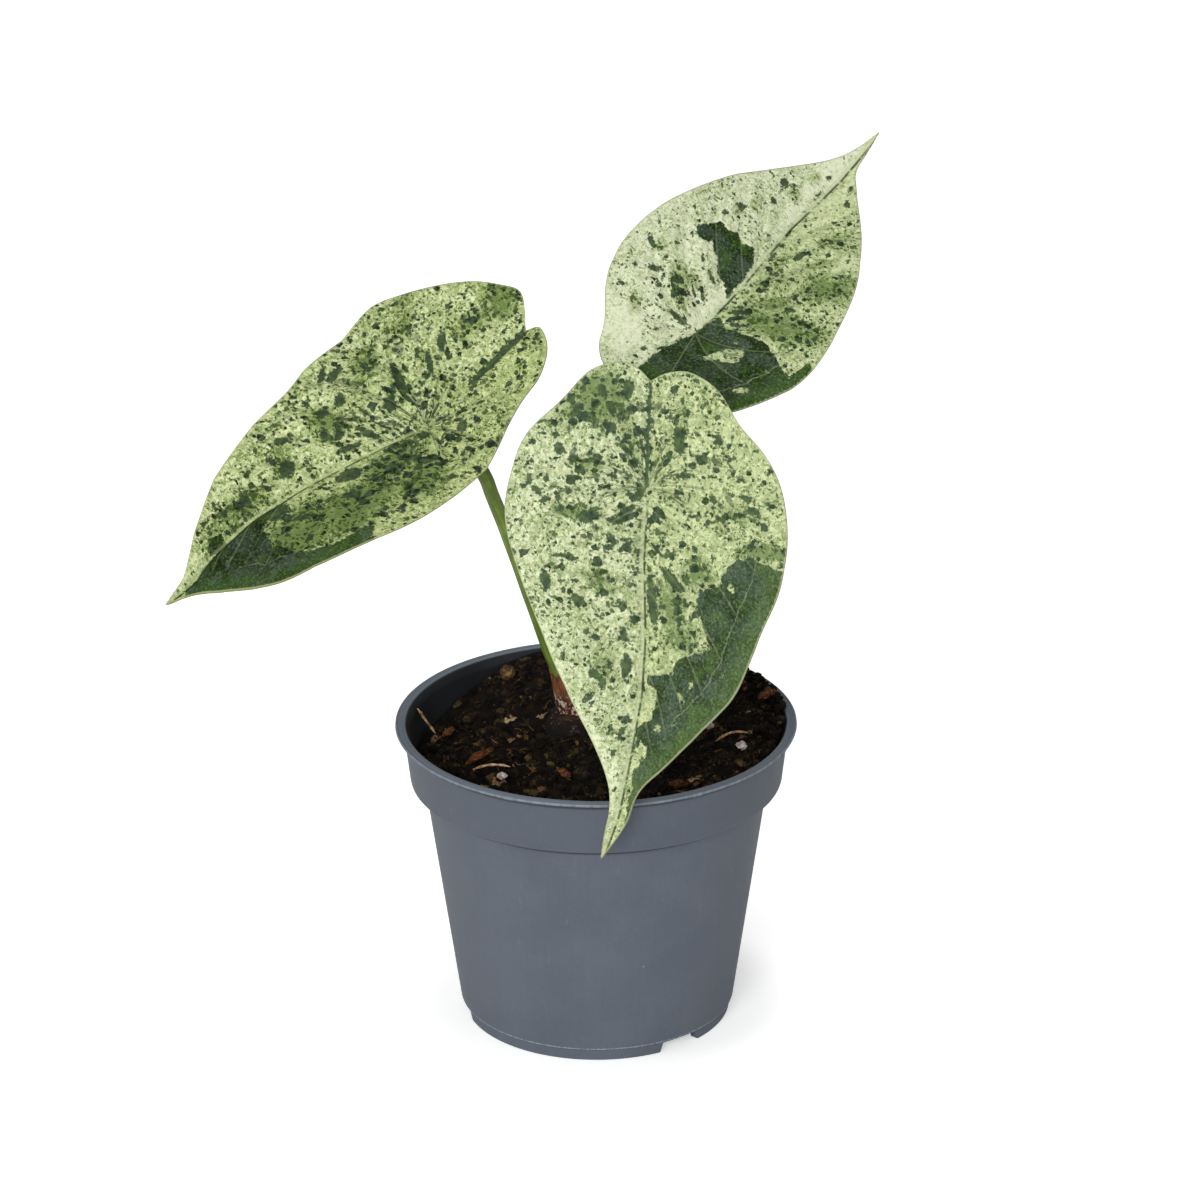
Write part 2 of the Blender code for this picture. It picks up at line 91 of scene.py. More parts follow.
class Wiring:
    # a node tree being wired: every input may be a plain value, an amount or the socket of another node
    def __init__(self, tree):
        self.tree = tree

    def add(self, kind, inputs=None, **settings):
        made = self.tree.nodes.new("ShaderNode" + kind)
        for name, value in settings.items():
            setattr(made, name, value)
        for name, value in (inputs or {}).items():
            if isinstance(value, (Amount, bpy.types.NodeSocket)):
                self.join(value, made.inputs[name])
            else:
                made.inputs[name].default_value = value
        return made

    def join(self, value, target):
        self.tree.links.new(value.socket if isinstance(value, Amount) else value, target)

    def calc(self, operation, first, second=0.0):
        return Amount(self, self.add("Math", {0: first, 1: second}, operation=operation).outputs[0])

    def larger(self, first, second):
        return self.calc("MAXIMUM", first, second)

    def reach(self, x, y):
        # the distance from the origin
        return self.calc("SQRT", x * x + y * y)

    def stored(self, name, output="Vector"):
        # what a mesh stores on its points under this name
        return self.add("Attribute", attribute_name=name).outputs[output]

    def vector(self, operation, first, second):
        return self.add("VectorMath", {0: first, 1: second}, operation=operation).outputs[0]

    def moved(self, place, step):
        return self.vector("ADD", place, step)

    def stretch(self, place, factors):
        return self.vector("MULTIPLY", place, factors)

    def noise(self, place, scale, detail=2.0, roughness=0.5, distortion=0.0, colored=False):
        made = self.add("TexNoise", {"Vector": place, "Scale": scale, "Detail": detail,
                                     "Roughness": roughness, "Distortion": distortion})
        return made.outputs["Color"] if colored else Amount(self, made.outputs[0])

    def cells(self, place, scale):
        # round cells: how far a point lies from its cell's middle, and three random shares of the cell
        made = self.add("TexVoronoi", {"Vector": place, "Scale": scale})
        return Amount(self, made.outputs["Distance"]), self.parts(made.outputs["Color"])

    def between(self, value, low, high, bottom=0.0, top=1.0):
        # a smooth step from bottom to top while value goes from low to high
        made = self.add("MapRange", {"Value": value, "From Min": low, "From Max": high,
                                     "To Min": bottom, "To Max": top}, interpolation_type="SMOOTHSTEP")
        return Amount(self, made.outputs[0])

    def mix(self, share, first, second):
        return self.add("Mix", {0: share, 6: first, 7: second}, data_type="RGBA").outputs[2]

    def ramp(self, value, stops):
        made = self.add("ValToRGB", {"Fac": value})
        points = made.color_ramp.elements
        while len(points) < len(stops):
            points.new(0.5)
        for point, (position, color) in zip(points, stops):
            point.position = position
            point.color = color
        return made.outputs[0]

    def parts(self, vector):
        return [Amount(self, socket) for socket in self.add("SeparateXYZ", {0: vector}).outputs]


def newGroup(name, inputs, outputs):
    # a shader group with named sockets: kinds are Float, Color and Vector
    group = bpy.data.node_groups.new(name, "ShaderNodeTree")
    for label, kind, value in inputs:
        socket = group.interface.new_socket(label, in_out="INPUT", socket_type="NodeSocket" + kind)
        socket.default_value = value
    for label, kind in outputs:
        group.interface.new_socket(label, in_out="OUTPUT", socket_type="NodeSocket" + kind)
    wires = Wiring(group)
    entry = {socket.name: Amount(wires, socket) for socket in group.nodes.new("NodeGroupInput").outputs}
    leave = group.nodes.new("NodeGroupOutput").inputs
    return group, wires, entry, leave


def mottleGroup():
    # two scales of uneven shade and a fine grain, for plastic, stalks, bark and soil
    group, wires, entry, leave = newGroup(
        "mottle",
        [("Place", "Vector", (0, 0, 0)), ("Patch Scale", "Float", 0.2), ("Grain Scale", "Float", 3.0)],
        [("Patch", "Float"), ("Grain", "Float")])
    patch = wires.noise(entry["Place"], entry["Patch Scale"], 4, 0.6)
    grain = wires.noise(entry["Place"], entry["Grain Scale"], 3, 0.6)
    wires.join(wires.between(patch, 0.3, 0.7), leave["Patch"])
    wires.join(wires.between(grain, 0.25, 0.75), leave["Grain"])
    return group


mottle = mottleGroup()


class Finish(Wiring):
    # a Principled material being wired
    def __init__(self, name, specular, roughness=0.5):
        self.material = bpy.data.materials.new(name)
        self.material.use_nodes = True
        super().__init__(self.material.node_tree)
        self.shader = self.tree.nodes["Principled BSDF"]
        self.shader.inputs["Specular IOR Level"].default_value = specular
        self.shader.inputs["Roughness"].default_value = roughness

    def plug(self, socket, label):
        self.join(socket, self.shader.inputs[label])

    def bump(self, height, depth, strength):
        # depth is in millimetres
        made = self.add("Bump", {"Height": height, "Distance": depth * mm, "Strength": strength})
        self.plug(made.outputs[0], "Normal")

    def objectPlace(self):
        # object coordinates in millimetres
        return self.stretch(self.add("TexCoord").outputs["Object"], (1000, 1000, 1000))

    def mottled(self, place, patchScale, grainScale):
        made = self.add("Group", node_tree=mottle)
        self.join(place, made.inputs["Place"])
        made.inputs["Patch Scale"].default_value = patchScale
        made.inputs["Grain Scale"].default_value = grainScale
        return Amount(self, made.outputs["Patch"]), Amount(self, made.outputs["Grain"])


def meshFrom(work, name, sharpAngle=None):
    bmesh.ops.recalc_face_normals(work, faces=work.faces)
    mesh = bpy.data.meshes.new(name)
    work.to_mesh(mesh)
    work.free()
    mesh.shade_smooth()
    if sharpAngle:
        mesh.set_sharp_from_angle(angle=math.radians(sharpAngle))
    return mesh


def newObject(name, data):
    made = bpy.data.objects.new(name, data)
    bpy.context.scene.collection.objects.link(made)
    return made


def newPiece(name, mesh, finishes, slot, nodes=()):
    # show a finished mesh, let it ride on the plant's one body and stand for its CAD nodes
    piece = newObject(name, mesh)
    for finish in finishes:
        mesh.materials.append(finish)
    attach(piece, "root")
    if nodes:
        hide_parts(*nodes)
    return piece


def smoothPath(points, pitch):
    # evenly spaced points along a Catmull-Rom curve through the given ones
    knots = np.array(points, float)
    padded = np.vstack([2 * knots[0] - knots[1], knots, 2 * knots[-1] - knots[-2]])
    dense = [knots[0]]
    for a, b, c, d in zip(padded, padded[1:], padded[2:], padded[3:]):
        for step in range(1, 21):
            t = step / 20
            dense.append(0.5 * (2 * b + (c - a) * t + (2 * a - 5 * b + 4 * c - d) * t * t
                                + (3 * b - a - 3 * c + d) * t ** 3))
    dense = np.array(dense)
    length = np.concatenate([[0], np.cumsum(np.linalg.norm(np.diff(dense, axis=0), axis=1))])
    even = np.linspace(0, length[-1], max(2, round(length[-1] / pitch)) + 1)
    return np.stack([np.interp(even, length, dense[:, k]) for k in range(dense.shape[1])], axis=1)


def inside(points, outline):
    # how far each point lies inside a closed outline, in the outline's units; negative outside
    outline = np.array(outline, float)
    nearest = np.full(len(points), 1e9)
    crossings = np.zeros(len(points), bool)
    for start, end in zip(outline, np.roll(outline, -1, axis=0)):
        edge = end - start
        share = np.clip(((points - start) @ edge) / max(edge @ edge, 1e-9), 0, 1)
        nearest = np.minimum(nearest, np.linalg.norm(points - start - share[:, None] * edge, axis=1))
        spans = (start[1] > points[:, 1]) != (end[1] > points[:, 1])
        reach = start[0] + (points[:, 1] - start[1]) * edge[0] / (edge[1] if edge[1] else 1e-9)
        crossings ^= spans & (points[:, 0] < reach)
    return np.where(crossings, nearest, -nearest)


def insideSpots(points, spots):
    # the same for a set of oval spots: x, y, half length, half width and turn in degrees
    best = np.full(len(points), -9.0)
    for x, y, long, short, turn in spots:
        c, s = math.cos(math.radians(turn)), math.sin(math.radians(turn))
        dx, dy = points[:, 0] - x, points[:, 1] - y
        reach = np.hypot((dx * c + dy * s) / long, (dy * c - dx * s) / short)
        best = np.maximum(best, (1 - reach) * short)
    return best


blade = {
    "columns": 400, "rows": 84,     # of the fine mesh: round the outline, and from the petiole outwards
    "thickness": 0.42,
    "thinnest": 0.55,               # share of the thickness between the ribs
    "crease": 1.0,                  # how round the fold along the midrib is
    "veinFirst": 2.6, "veinPitch": 5.4,   # where side veins leave the midrib
    "lobeSpread": 9.0,              # how fast veins fan out behind the petiole
    "slant": 0.25, "arch": 0.04, "fan": 0.07,   # how the veins slope, arch and spread further out
    "channel": 0.6, "veinDepth": 0.34, "pillow": 0.5, "collectorDepth": 0.1,
    "channelWidth": 0.75, "veinWidth": 0.55, "collectorWidth": 0.45,
    "collector": 4.3,               # the vein that runs this far inside the margin
    "curlFrom": 6,                  # the sides curl down outside this distance from the midrib
    "rowCrowding": 0.9,             # below 1 the rows crowd towards the margin
}

frontLeaf = {
    "place": (7.3, -12.0, 89.0), "heading": -104.0, "pitch": -60.0, "roll": 0.0,
    "bend": [(-20, 4), (0, 0), (30, -5), (60, -8)],
    "fold": [(-20, 8), (0, 10), (30, 14), (60, 20)],
    "sway": [(-16, -1.2), (0, 0), (10, 0.5), (22, 2.0), (30, 2.3), (40, 1.5), (48, 0.6), (54, -1)],
    "curl": 0.004,
    "plus": [(-15.9, 0), (-17.2, 2.5), (-17.4, 6), (-15, 10.4), (-10.1, 14), (-6, 18),
             (-1.2, 20.7), (6, 22.1), (13, 21.3), (21, 17.8), (28.5, 15), (34.6, 10.5),
             (40, 6.1), (44.1, 2.8), (49.3, 1.8), (54.2, 0)],
    "minus": [(-15.9, 0), (-17.6, 2.2), (-18.1, 5), (-16.4, 8.9), (-11.5, 12.9), (-6.6, 17.3),
              (-2, 19.2), (5, 20.1), (12, 18.4), (21.8, 14.6), (30.3, 10.2), (37.9, 5),
              (44.1, 1.7), (50, 0.8), (54.2, 0)],
    # dark sectors as outlines; ovals are x, y, half length, half width and turn from the midrib
    "dark": [
        [(9.2, 14.4), (9.1, 17), (10.2, 20.6), (11, 25), (22, 22), (27, 14), (25.4, 11.8), (22.2, 10.4),
         (19, 9.3), (15.6, 8.6), (14.2, 9.4), (13.3, 12)],
        [(22.6, 10.2), (23.2, 8.6), (24.6, 5.2), (26.6, 5), (27.2, 1.3), (28.2, 1.1), (29, 2.5), (31.3, 3),
         (33.6, 2.5), (34.3, 0.4), (36.2, 0.5), (37.2, 2.7), (39, 2.8), (40.6, 1.5), (44.8, 1.2), (49, 1.2),
         (49, 5), (38, 12), (28, 18), (22, 18)],
    ],
    "islands": [(13.6, 13.9, 0.6, 0.4, 30), (27.8, 8, 0.4, 0.3, 0), (29.7, 6.4, 0.9, 0.4, 30),
                (34.7, 3.9, 0.5, 0.35, 0), (47, 1.2, 3, 0.3, 0)],
    "green": [(-12.5, -7, 4.6, 4.4, 0), (-10.3, -11, 3.4, 2.2, -40), (-8, -2.6, 5, 1.4, 20),
              (-11.5, 5.2, 2.2, 0.9, 5), (12, 9, 2.5, 2.2, 0), (17, 4.5, 4.5, 2.0, 10),
              (14, -6, 2.5, 1.6, 60), (3, 14.5, 4, 1.2, 80), (-2.5, -8.5, 1.5, 2.2, 0),
              (8, 19.5, 1.2, 5, 0), (4.5, -9.5, 1.2, 3.5, 0), (26, -5, 3, 1.5, 20), (21, 6, 2.5, 2.5, 0)],
    "blotches": [
        (16, 1.6, 5.0, 0.8, 6), (13.1, 4.9, 2.8, 0.85, 45), (12.8, 7, 1.0, 0.7, 30),
        (16.3, 6.7, 1.0, 0.6, 60), (9.5, 4.4, 1.7, 0.55, 100), (8.3, 8.2, 0.7, 0.6, 0),
        (6.3, 2.3, 1.4, 0.5, 80), (3.6, 7.6, 1.1, 0.4, 92), (3.7, 11.8, 1.1, 0.5, 65),
        (2.3, 16.7, 1.3, 0.8, 70), (0.6, 15.8, 1.6, 0.55, 70), (1.0, 18.8, 0.6, 0.4, 90),
        (1, 10.6, 0.9, 0.6, 60), (-2.2, 5.8, 1.7, 0.6, 95), (-2.3, 14.4, 0.7, 0.6, 45),
        (-5, 8.2, 1.5, 0.5, 85), (-7.6, 10.9, 0.95, 0.75, 0), (-7.2, 4.9, 2.5, 0.95, 14),
        (-13, 5, 1.0, 0.4, 10), (-12.8, 8.6, 1.3, 0.4, 125), (-11, 10.5, 0.7, 0.5, 0),
        (-2.3, 10.3, 0.7, 0.35, 90), (-14.3, -3.1, 1.5, 0.9, 10), (-11.8, -11.3, 1.1, 0.7, 30),
        (-10.4, -10.4, 1.6, 0.7, -35), (-9.4, -9.2, 1.1, 0.6, 60), (-13.6, -7, 1.2, 0.8, 30),
        (-10.9, -5.4, 1.1, 0.6, 20), (-4.5, -12.7, 0.95, 0.9, 0), (-3.3, -8.3, 1.7, 0.42, 100),
        (-5.4, -3.1, 2.8, 0.5, 42), (-6.5, -0.8, 1.3, 0.35, 12), (-1.3, -4.9, 1.1, 0.5, 70),
        (0.5, -16.8, 1.0, 0.6, 10), (2, -15.6, 1.1, 0.6, 50), (0.1, -14.3, 0.7, 0.6, 0),
        (1.6, -11, 0.65, 0.6, 0), (2.8, -12.4, 0.6, 0.55, 0), (3.2, -14.3, 0.7, 0.6, 0),
        (4.3, -11.8, 0.8, 0.5, 10), (5.2, -8.2, 1.4, 1.0, 70), (3.9, -7, 1.2, 0.5, 110),
        (5.1, -3.8, 1.6, 0.7, 95), (6.7, -6.7, 0.5, 0.5, 0), (7.8, -2.3, 1.1, 0.4, 90),
        (11, -11.4, 1.6, 0.45, 100), (14.8, -13.8, 1.9, 0.85, 0), (17.2, -9.1, 1.1, 0.95, 60),
        (17.4, -2.7, 1.0, 0.7, 0), (13.9, -4, 0.8, 0.5, 100), (21.7, -7.8, 0.6, 0.6, 0),
        (21.5, -2.6, 1.2, 0.65, 0), (26, -4.4, 0.9, 0.5, 0), (25.9, -2, 1.9, 0.9, 0),
        (27.6, -6.5, 1.0, 0.8, 30), (28.8, -5.2, 1.2, 0.6, 0), (31.1, -7, 1.1, 0.6, -40),
        (25.5, -11, 1.4, 0.45, 0), (35.4, -1.4, 1.1, 0.5, -30), (38.8, -2, 0.7, 0.5, 0),
        (19.3, -1.3, 0.8, 0.6, 20), (0.6, -0.8, 1.2, 0.7, 0), (44, -1, 0.6, 0.3, 0),
    ],
    "seam": (-16, -0.6, 0.42),      # painted shade: a dark line in the crease behind the petiole: from, to, half width
    "pale": [(27, -12.1, 6, 0.8, 27), (36, -6.2, 6, 0.9, 36), (44, -1.2, 4, 1.2, 20)],
    "shift": (0, 0, 0), "flecks": 1.06, "calm": 0.0, "sage": 0.06, "warmSide": 1.0, "relief": 1.0,
    "tones": {"Cream": (221, 227, 190), "Sage": (160, 173, 122), "Meadow": (90, 116, 58),
              "Forest": (34, 53, 31)},
}

leftLeaf = {
    "place": (-24.9, 0.0, 94.2), "heading": -140.0, "pitch": -14.0, "roll": -22.0,
    "bend": [(-20, -24), (0, -4), (30, -8), (60, -4)],
    "fold": [(-20, 8), (0, 12), (30, 14), (60, 18)],
    "sway": [(-22, -1.6), (-8, -1), (0, 0), (8, -1.5), (20, -3.3), (30, -4), (38, -3.0), (44, -1),
             (49, -0.6)],
    "curl": 0.006,
    "plus": [(-21.5, 0), (-23.2, 1.6), (-21.6, 5), (-17.6, 7.6), (-12.2, 8.9), (-4.7, 11.9),
             (1.5, 14.2), (7.7, 16), (15.1, 16.8), (23.4, 15.8), (31.8, 14.2), (37.6, 11.3),
             (41.9, 6), (44.6, 2.4), (48.8, 0)],
    "minus": [(-21.5, 0), (-23.6, 2.2), (-25.3, 5), (-24, 8), (-21.6, 11.5), (-18, 14.8),
              (-12.7, 18.0), (-7.2, 19.7), (0.8, 18.4), (7.2, 16.7), (12.4, 14.4), (20.5, 11.8),
              (30.2, 8), (38.9, 3.7), (44, 1.4), (48.8, 0)],
    "dark": [
        [(20, 0.3), (31, 0.2), (46.5, 0.2), (46, 3), (42, 9), (36, 14), (28, 17), (20, 15.4), (18.6, 13.8),
         (24, 13.2), (29, 11.8), (30.6, 9), (31.6, 6.2), (30.2, 3), (27, 1.2)],
        [(35.5, 0.2), (35.2, -1.2), (37, -2), (38.6, -0.6), (39, 0.2)],
    ],
    "islands": [(47.4, 0.2, 2.0, 1.2, 0)],
    "green": [(-15, -7, 1.6, 1.2, 30), (-17.5, -6.8, 4.4, 1.7, -20), (-22.8, -6.2, 3.8, 2.8, 30),
              (0.5, -12.9, 4.6, 1.7, 32), (31, -2.4, 6.5, 1.8, 4), (26, 7.5, 6.5, 5, 0),
              (18, 8.8, 9, 4.4, 8), (9, 4.6, 6, 2.6, 20), (34, 5, 4, 2.5, 30), (-9, -14, 3, 1.4, 20),
              (-12, -17.2, 2.6, 1.0, 30), (20.5, -4.4, 2.4, 1.6, 60), (11.5, -7, 3.2, 2.6, 60),
              (20.5, 13, 3.5, 1.6, 60), (8, 10, 5, 3.5, 30)],
    "blotches": [
        (26.4, 2, 2.3, 1.2, 20), (25, 5.4, 2.0, 0.7, -30), (14.6, 2.5, 2.2, 1.5, -10),
        (17.1, 6.5, 1.5, 0.85, -20), (5.4, 5.5, 0.9, 0.7, 0), (1.6, 1.9, 1.2, 0.9, 30),
        (6.7, 7.7, 0.7, 0.7, 0), (4.6, 12.1, 1.0, 0.6, -30), (-3.6, 4.7, 1.1, 0.95, 0),
        (-8.3, 3.8, 0.9, 0.45, -20), (-9.6, 0.9, 1.2, 0.5, 0), (6.5, 1.1, 0.9, 0.6, 0),
        (8.6, 5.3, 0.6, 0.5, 0), (12.6, 5.4, 0.8, 0.5, 0), (11.5, 11.5, 0.7, 0.5, 0),
        (27, 9.7, 0.9, 0.8, 0), (4.9, -13.6, 2.2, 0.75, 22), (6.6, -14.2, 2.4, 0.6, 43),
        (-2.2, -8, 3.6, 0.95, 68), (1.6, -5.5, 1.9, 1.05, 60), (7.3, -9.2, 1.4, 0.85, 40),
        (5.5, -5.9, 2.1, 0.4, 110), (7.2, -5.9, 0.8, 0.5, 0), (10.7, -8.8, 1.4, 0.9, 30),
        (7.4, -2.5, 2.4, 0.75, 118), (4.7, -2.6, 1.8, 0.45, 115), (11, -2, 2.2, 0.75, 0),
        (18.3, -7.7, 1.5, 0.9, 0), (21.6, -6.1, 0.8, 0.55, 0), (20.6, -3.5, 1.6, 1.2, 40),
        (17.4, -10.3, 1.2, 0.4, 0), (11.5, -11, 0.6, 0.5, 0), (12.8, -5.4, 0.9, 0.7, 40),
        (10.5, -5.6, 1.1, 0.55, 60), (28.7, -2.6, 1.5, 0.85, 85), (32.3, -3.3, 1.1, 0.6, 20),
        (25.8, -5.9, 0.9, 0.5, 20), (-11.4, -7.8, 2.1, 0.75, 45), (-7.5, -6.4, 2.6, 0.65, 54),
        (-7.6, -9.2, 0.7, 0.6, 0), (-3.5, -17, 0.7, 0.5, 0), (-6.5, -14.8, 0.9, 0.5, 60),
        (-9, -12.2, 0.9, 0.4, 60), (-16.2, -11.3, 1.0, 0.5, 10), (0.8, -11.8, 1.0, 0.6, 30),
        (1.2, -16.5, 0.6, 0.5, 0), (-10.6, -5.2, 0.9, 0.45, 20), (-14, -4.6, 0.8, 0.4, 0),
        (36, -4, 0.7, 0.4, 0), (-12.6, 5.6, 0.6, 0.4, 30), (0, 8.8, 0.7, 0.4, 40),
        (-22.6, 4.8, 1.5, 0.35, 70),
    ],
    "seam": (-22, -10.5, 0.65),
    "pale": [(44, -2, 5, 1.2, -15)],
    "shift": (83, 31, 0), "flecks": 1.12, "calm": 0.0, "sage": 0.2, "warmSide": 1.0, "relief": 0.95,
    "tones": {"Cream": (221, 228, 180), "Sage": (154, 170, 106), "Meadow": (70, 100, 38),
              "Forest": (10, 26, 8)},
}

rightLeaf = {
    "place": (15.0, 11.0, 104.4), "heading": 53.0, "pitch": 18.0, "roll": 30.0,
    "bend": [(-20, -6), (0, 0), (30, -6), (60, 10)],
    "fold": [(-20, 8), (0, 12), (30, 14), (60, 20)],
    "sway": [(-13, 1.8), (0, 0), (12, 0.3), (28, 1.6), (42, 1.6), (53, 2.2)],
    "curl": 0.006,
    "plus": [(-12.6, 0), (-14.5, 1.3), (-16, 3.6), (-14.3, 6.4), (-9.6, 9.4), (-4.6, 13.6),
             (0, 16.2), (6, 17.1), (14.1, 16.3), (24.9, 12.4), (33.4, 8.1), (43.5, 2.8),
             (48.5, 1), (53.5, 0)],
    "minus": [(-12.6, 0), (-14.8, 2.6), (-16.4, 6.5), (-14, 11.7), (-9.2, 14.4), (-2, 16.5),
              (5, 17.4), (14, 16.2), (23.6, 14.1), (32.4, 9.8), (40.8, 3.8), (44.8, 1.3),
              (49, 0.6), (53.5, 0)],
    "dark": [
        [(15.2, 10.4), (18.6, 8), (18.3, 6.5), (19.6, 5), (18.6, 3.8), (19.6, 2.2), (17.8, 0.5), (8.7, 0.1),
         (10.2, 1.6), (11.1, 3.9), (13.2, 5.1), (14.7, 7.3), (13.2, 8.4), (13.4, 10)],
        [(-13, 0.6), (-6, 1.0), (0, 0.2), (4.9, -1.0), (3.6, -3), (4, -5.5), (4.7, -8.9), (3.5, -11.8),
         (1.7, -14), (1.5, -15.5), (5.5, -16.3), (4, -20), (-6, -21), (-20, -10), (-18, 0)],
    ],
    "islands": [(-0.9, -6.5, 1.8, 1.4, -50), (-2.4, -5.2, 1.3, 0.7, -35), (0.3, -7.3, 1.0, 0.9, 10),
                (-5.5, -12.3, 0.9, 0.6, -40)],
    "green": [(20, -11, 5.4, 3.2, -50), (8.5, -8.8, 6.5, 3.4, -75), (10, -13.5, 3.2, 2.4, -30),
              (11.6, -6.0, 3.6, 2.4, -40), (30, -7, 3, 1.2, -20), (17, -2.6, 6, 1.0, 0),
              (4.2, 6.6, 3.4, 1.3, 40), (33.6, 2.9, 1.5, 1.0, 30), (38.5, 2.5, 1.0, 0.6, 0),
              (26, 5.8, 0.9, 0.7, 0), (6.8, 6.0, 2.4, 0.8, 80), (-3.5, 9, 1.7, 0.7, 40),
              (7.4, 12.5, 0.9, 0.6, 0), (22.8, 7.2, 0.9, 0.5, 0), (17, -5, 2.2, 1.2, 0),
              (24, -8, 2.4, 1.0, -40)],
    "blotches": [
        (-0.2, 3.4, 2.1, 0.75, 97), (9.5, 3.7, 1.5, 0.5, 59), (3.5, 10.8, 1.5, 0.7, -48),
        (6.9, 13.8, 1.5, 0.65, 56), (-2.6, 12.4, 0.65, 0.6, 0), (4.6, 7.4, 1.2, 0.7, -30),
        (1.8, 8.6, 0.8, 0.5, 0), (33.5, 5.2, 1.1, 0.85, 10), (23.9, 7.4, 1.1, 0.65, -45),
        (20.5, 8.5, 0.65, 0.6, 0), (29.3, 4.3, 1.0, 0.6, 60), (10.6, 15.1, 0.7, 0.4, 45),
        (37.8, -3.9, 1.1, 0.6, 30), (41, -2.6, 1.0, 0.45, 20), (33.2, -4.5, 0.6, 0.55, 0),
        (30.8, -0.9, 0.7, 0.4, 0), (23.3, -4.3, 1.7, 0.7, -12), (26.8, -0.5, 1.4, 0.45, 5),
        (23.6, -1.0, 0.8, 0.5, 0), (20.6, -1.0, 1.5, 0.45, 0), (7.4, -2.8, 1.9, 0.7, -49),
        (13.7, -3.3, 1.1, 0.45, -30), (12.3, -8.3, 1.0, 0.6, -40), (15.5, -7.8, 0.9, 0.45, -40),
        (11, 6.6, 0.8, 0.4, 40), (27, -10.6, 0.6, 0.4, 0), (1.6, 13.2, 0.5, 0.45, 0),
        (-4.6, 3.9, 0.8, 0.35, -30), (-8.6, 2.6, 0.7, 0.5, 0), (9.5, 11, 0.8, 0.4, 30),
        (17.3, 12.6, 0.6, 0.4, 0), (26, -2.6, 0.6, 0.4, 0), (40.5, 1.2, 0.8, 0.5, 0),
        (36.5, 0.5, 1.3, 0.3, 0), (6.2, 10.6, 0.6, 0.5, 0), (10.2, -14.4, 0.8, 0.5, 0),
    ],
    "seam": (-13, -13, 0.2),
    "pale": [(46, 1.2, 8, 2.6, 0), (34, 1.6, 9, 1.2, 5), (-9, 8, 5, 4, 30), (6, 1.2, 5, 0.7, 0),
             (36, -2.8, 9, 2.2, -8), (28, -11.4, 6, 1.2, -32)],
    "shift": (-57, 64, 0), "flecks": 0.95, "calm": 0.7, "sage": 0.06, "warmSide": -1.0, "relief": 0.45,
    "tones": {"Cream": (230, 235, 204), "Sage": (170, 184, 128), "Meadow": (74, 108, 34),
              "Forest": (16, 34, 10)},
}
leaves = {"front": frontLeaf, "left": leftLeaf, "right": rightLeaf}


def leafAxes(leaf):
    # the blade's own directions: along the midrib, across it and out of its upper face
    heading, pitch, roll = (math.radians(leaf[key]) for key in ("heading", "pitch", "roll"))
    along = Vector((math.cos(pitch) * math.cos(heading), math.cos(pitch) * math.sin(heading),
                    math.sin(pitch)))
    level = Vector((-math.sin(heading), math.cos(heading), 0))
    up = along.cross(level)
    across = math.cos(roll) * level + math.sin(roll) * up
    return along, across, along.cross(across)


def bladeOutline(leaf, columns):
    # the outline as evenly spaced points: up the plus side from the notch to the tip and back
    half = columns // 2
    sides = []
    for key, flip in (("plus", 1), ("minus", -1)):
        fine = smoothPath(leaf[key], 0.1) * (1, flip)
        sides.append(fine[np.linspace(0, len(fine) - 1, half + 1).round().astype(int)])
    return np.vstack([sides[0], sides[1][::-1][1:]])


def veinFlow(x, y):
    # u says which vein a blade point would lie on and w how far out along it it is; spread is mm per u
    off = np.abs(y)
    slant, arch, fan = blade["slant"], blade["arch"], blade["fan"]
    ahead = (x - slant * off - arch * off ** 2) / (1 + fan * off)
    bent = x - arch * off ** 2
    angle = np.arctan2(off, bent)
    behind = -blade["lobeSpread"] * (angle - math.atan2(1, slant))
    isAhead = ahead >= 0
    out = np.where(isAhead, 1.03 * off, np.hypot(bent, off))
    slope = slant + fan * np.maximum(ahead, 0) + 2 * arch * off
    spread = np.where(isAhead, (1 + fan * off) / np.hypot(1, slope), out / blade["lobeSpread"])
    return np.where(isAhead, ahead, behind), out, spread


def veinRelief(x, y, margin):
    # how far the upper face rises or sinks over its ribs, in millimetres, and how strong the rib is
    u, w, spread = veinFlow(x, y)
    step = (u - blade["veinFirst"]) / blade["veinPitch"]
    part = step - np.floor(step + 0.5)
    away = np.abs(part) * blade["veinPitch"] * spread
    reach = np.clip(w / 2.0, 0, 1) * np.clip((margin - 1.5) / 3.5, 0, 1)
    crease = np.exp(-(away / blade["veinWidth"]) ** 2)
    pillow = (0.5 - 0.5 * np.cos(2 * math.pi * np.abs(part))) * np.clip(w / 9, 0, 1) * np.clip(margin / 5,
                                                                                               0, 1)
    rib = np.exp(-(y / blade["channelWidth"]) ** 2) * np.clip((margin + 1) / 3, 0, 1)
    collector = np.exp(-((margin - blade["collector"]) / blade["collectorWidth"]) ** 2)
    collector = collector * np.clip((np.abs(y) - 3) / 3, 0, 1)
    height = blade["pillow"] * pillow - blade["veinDepth"] * crease * reach
    height = height - blade["channel"] * rib - blade["collectorDepth"] * collector
    return height, np.clip(rib * 1.2 + 0.7 * crease * reach, 0, 1)


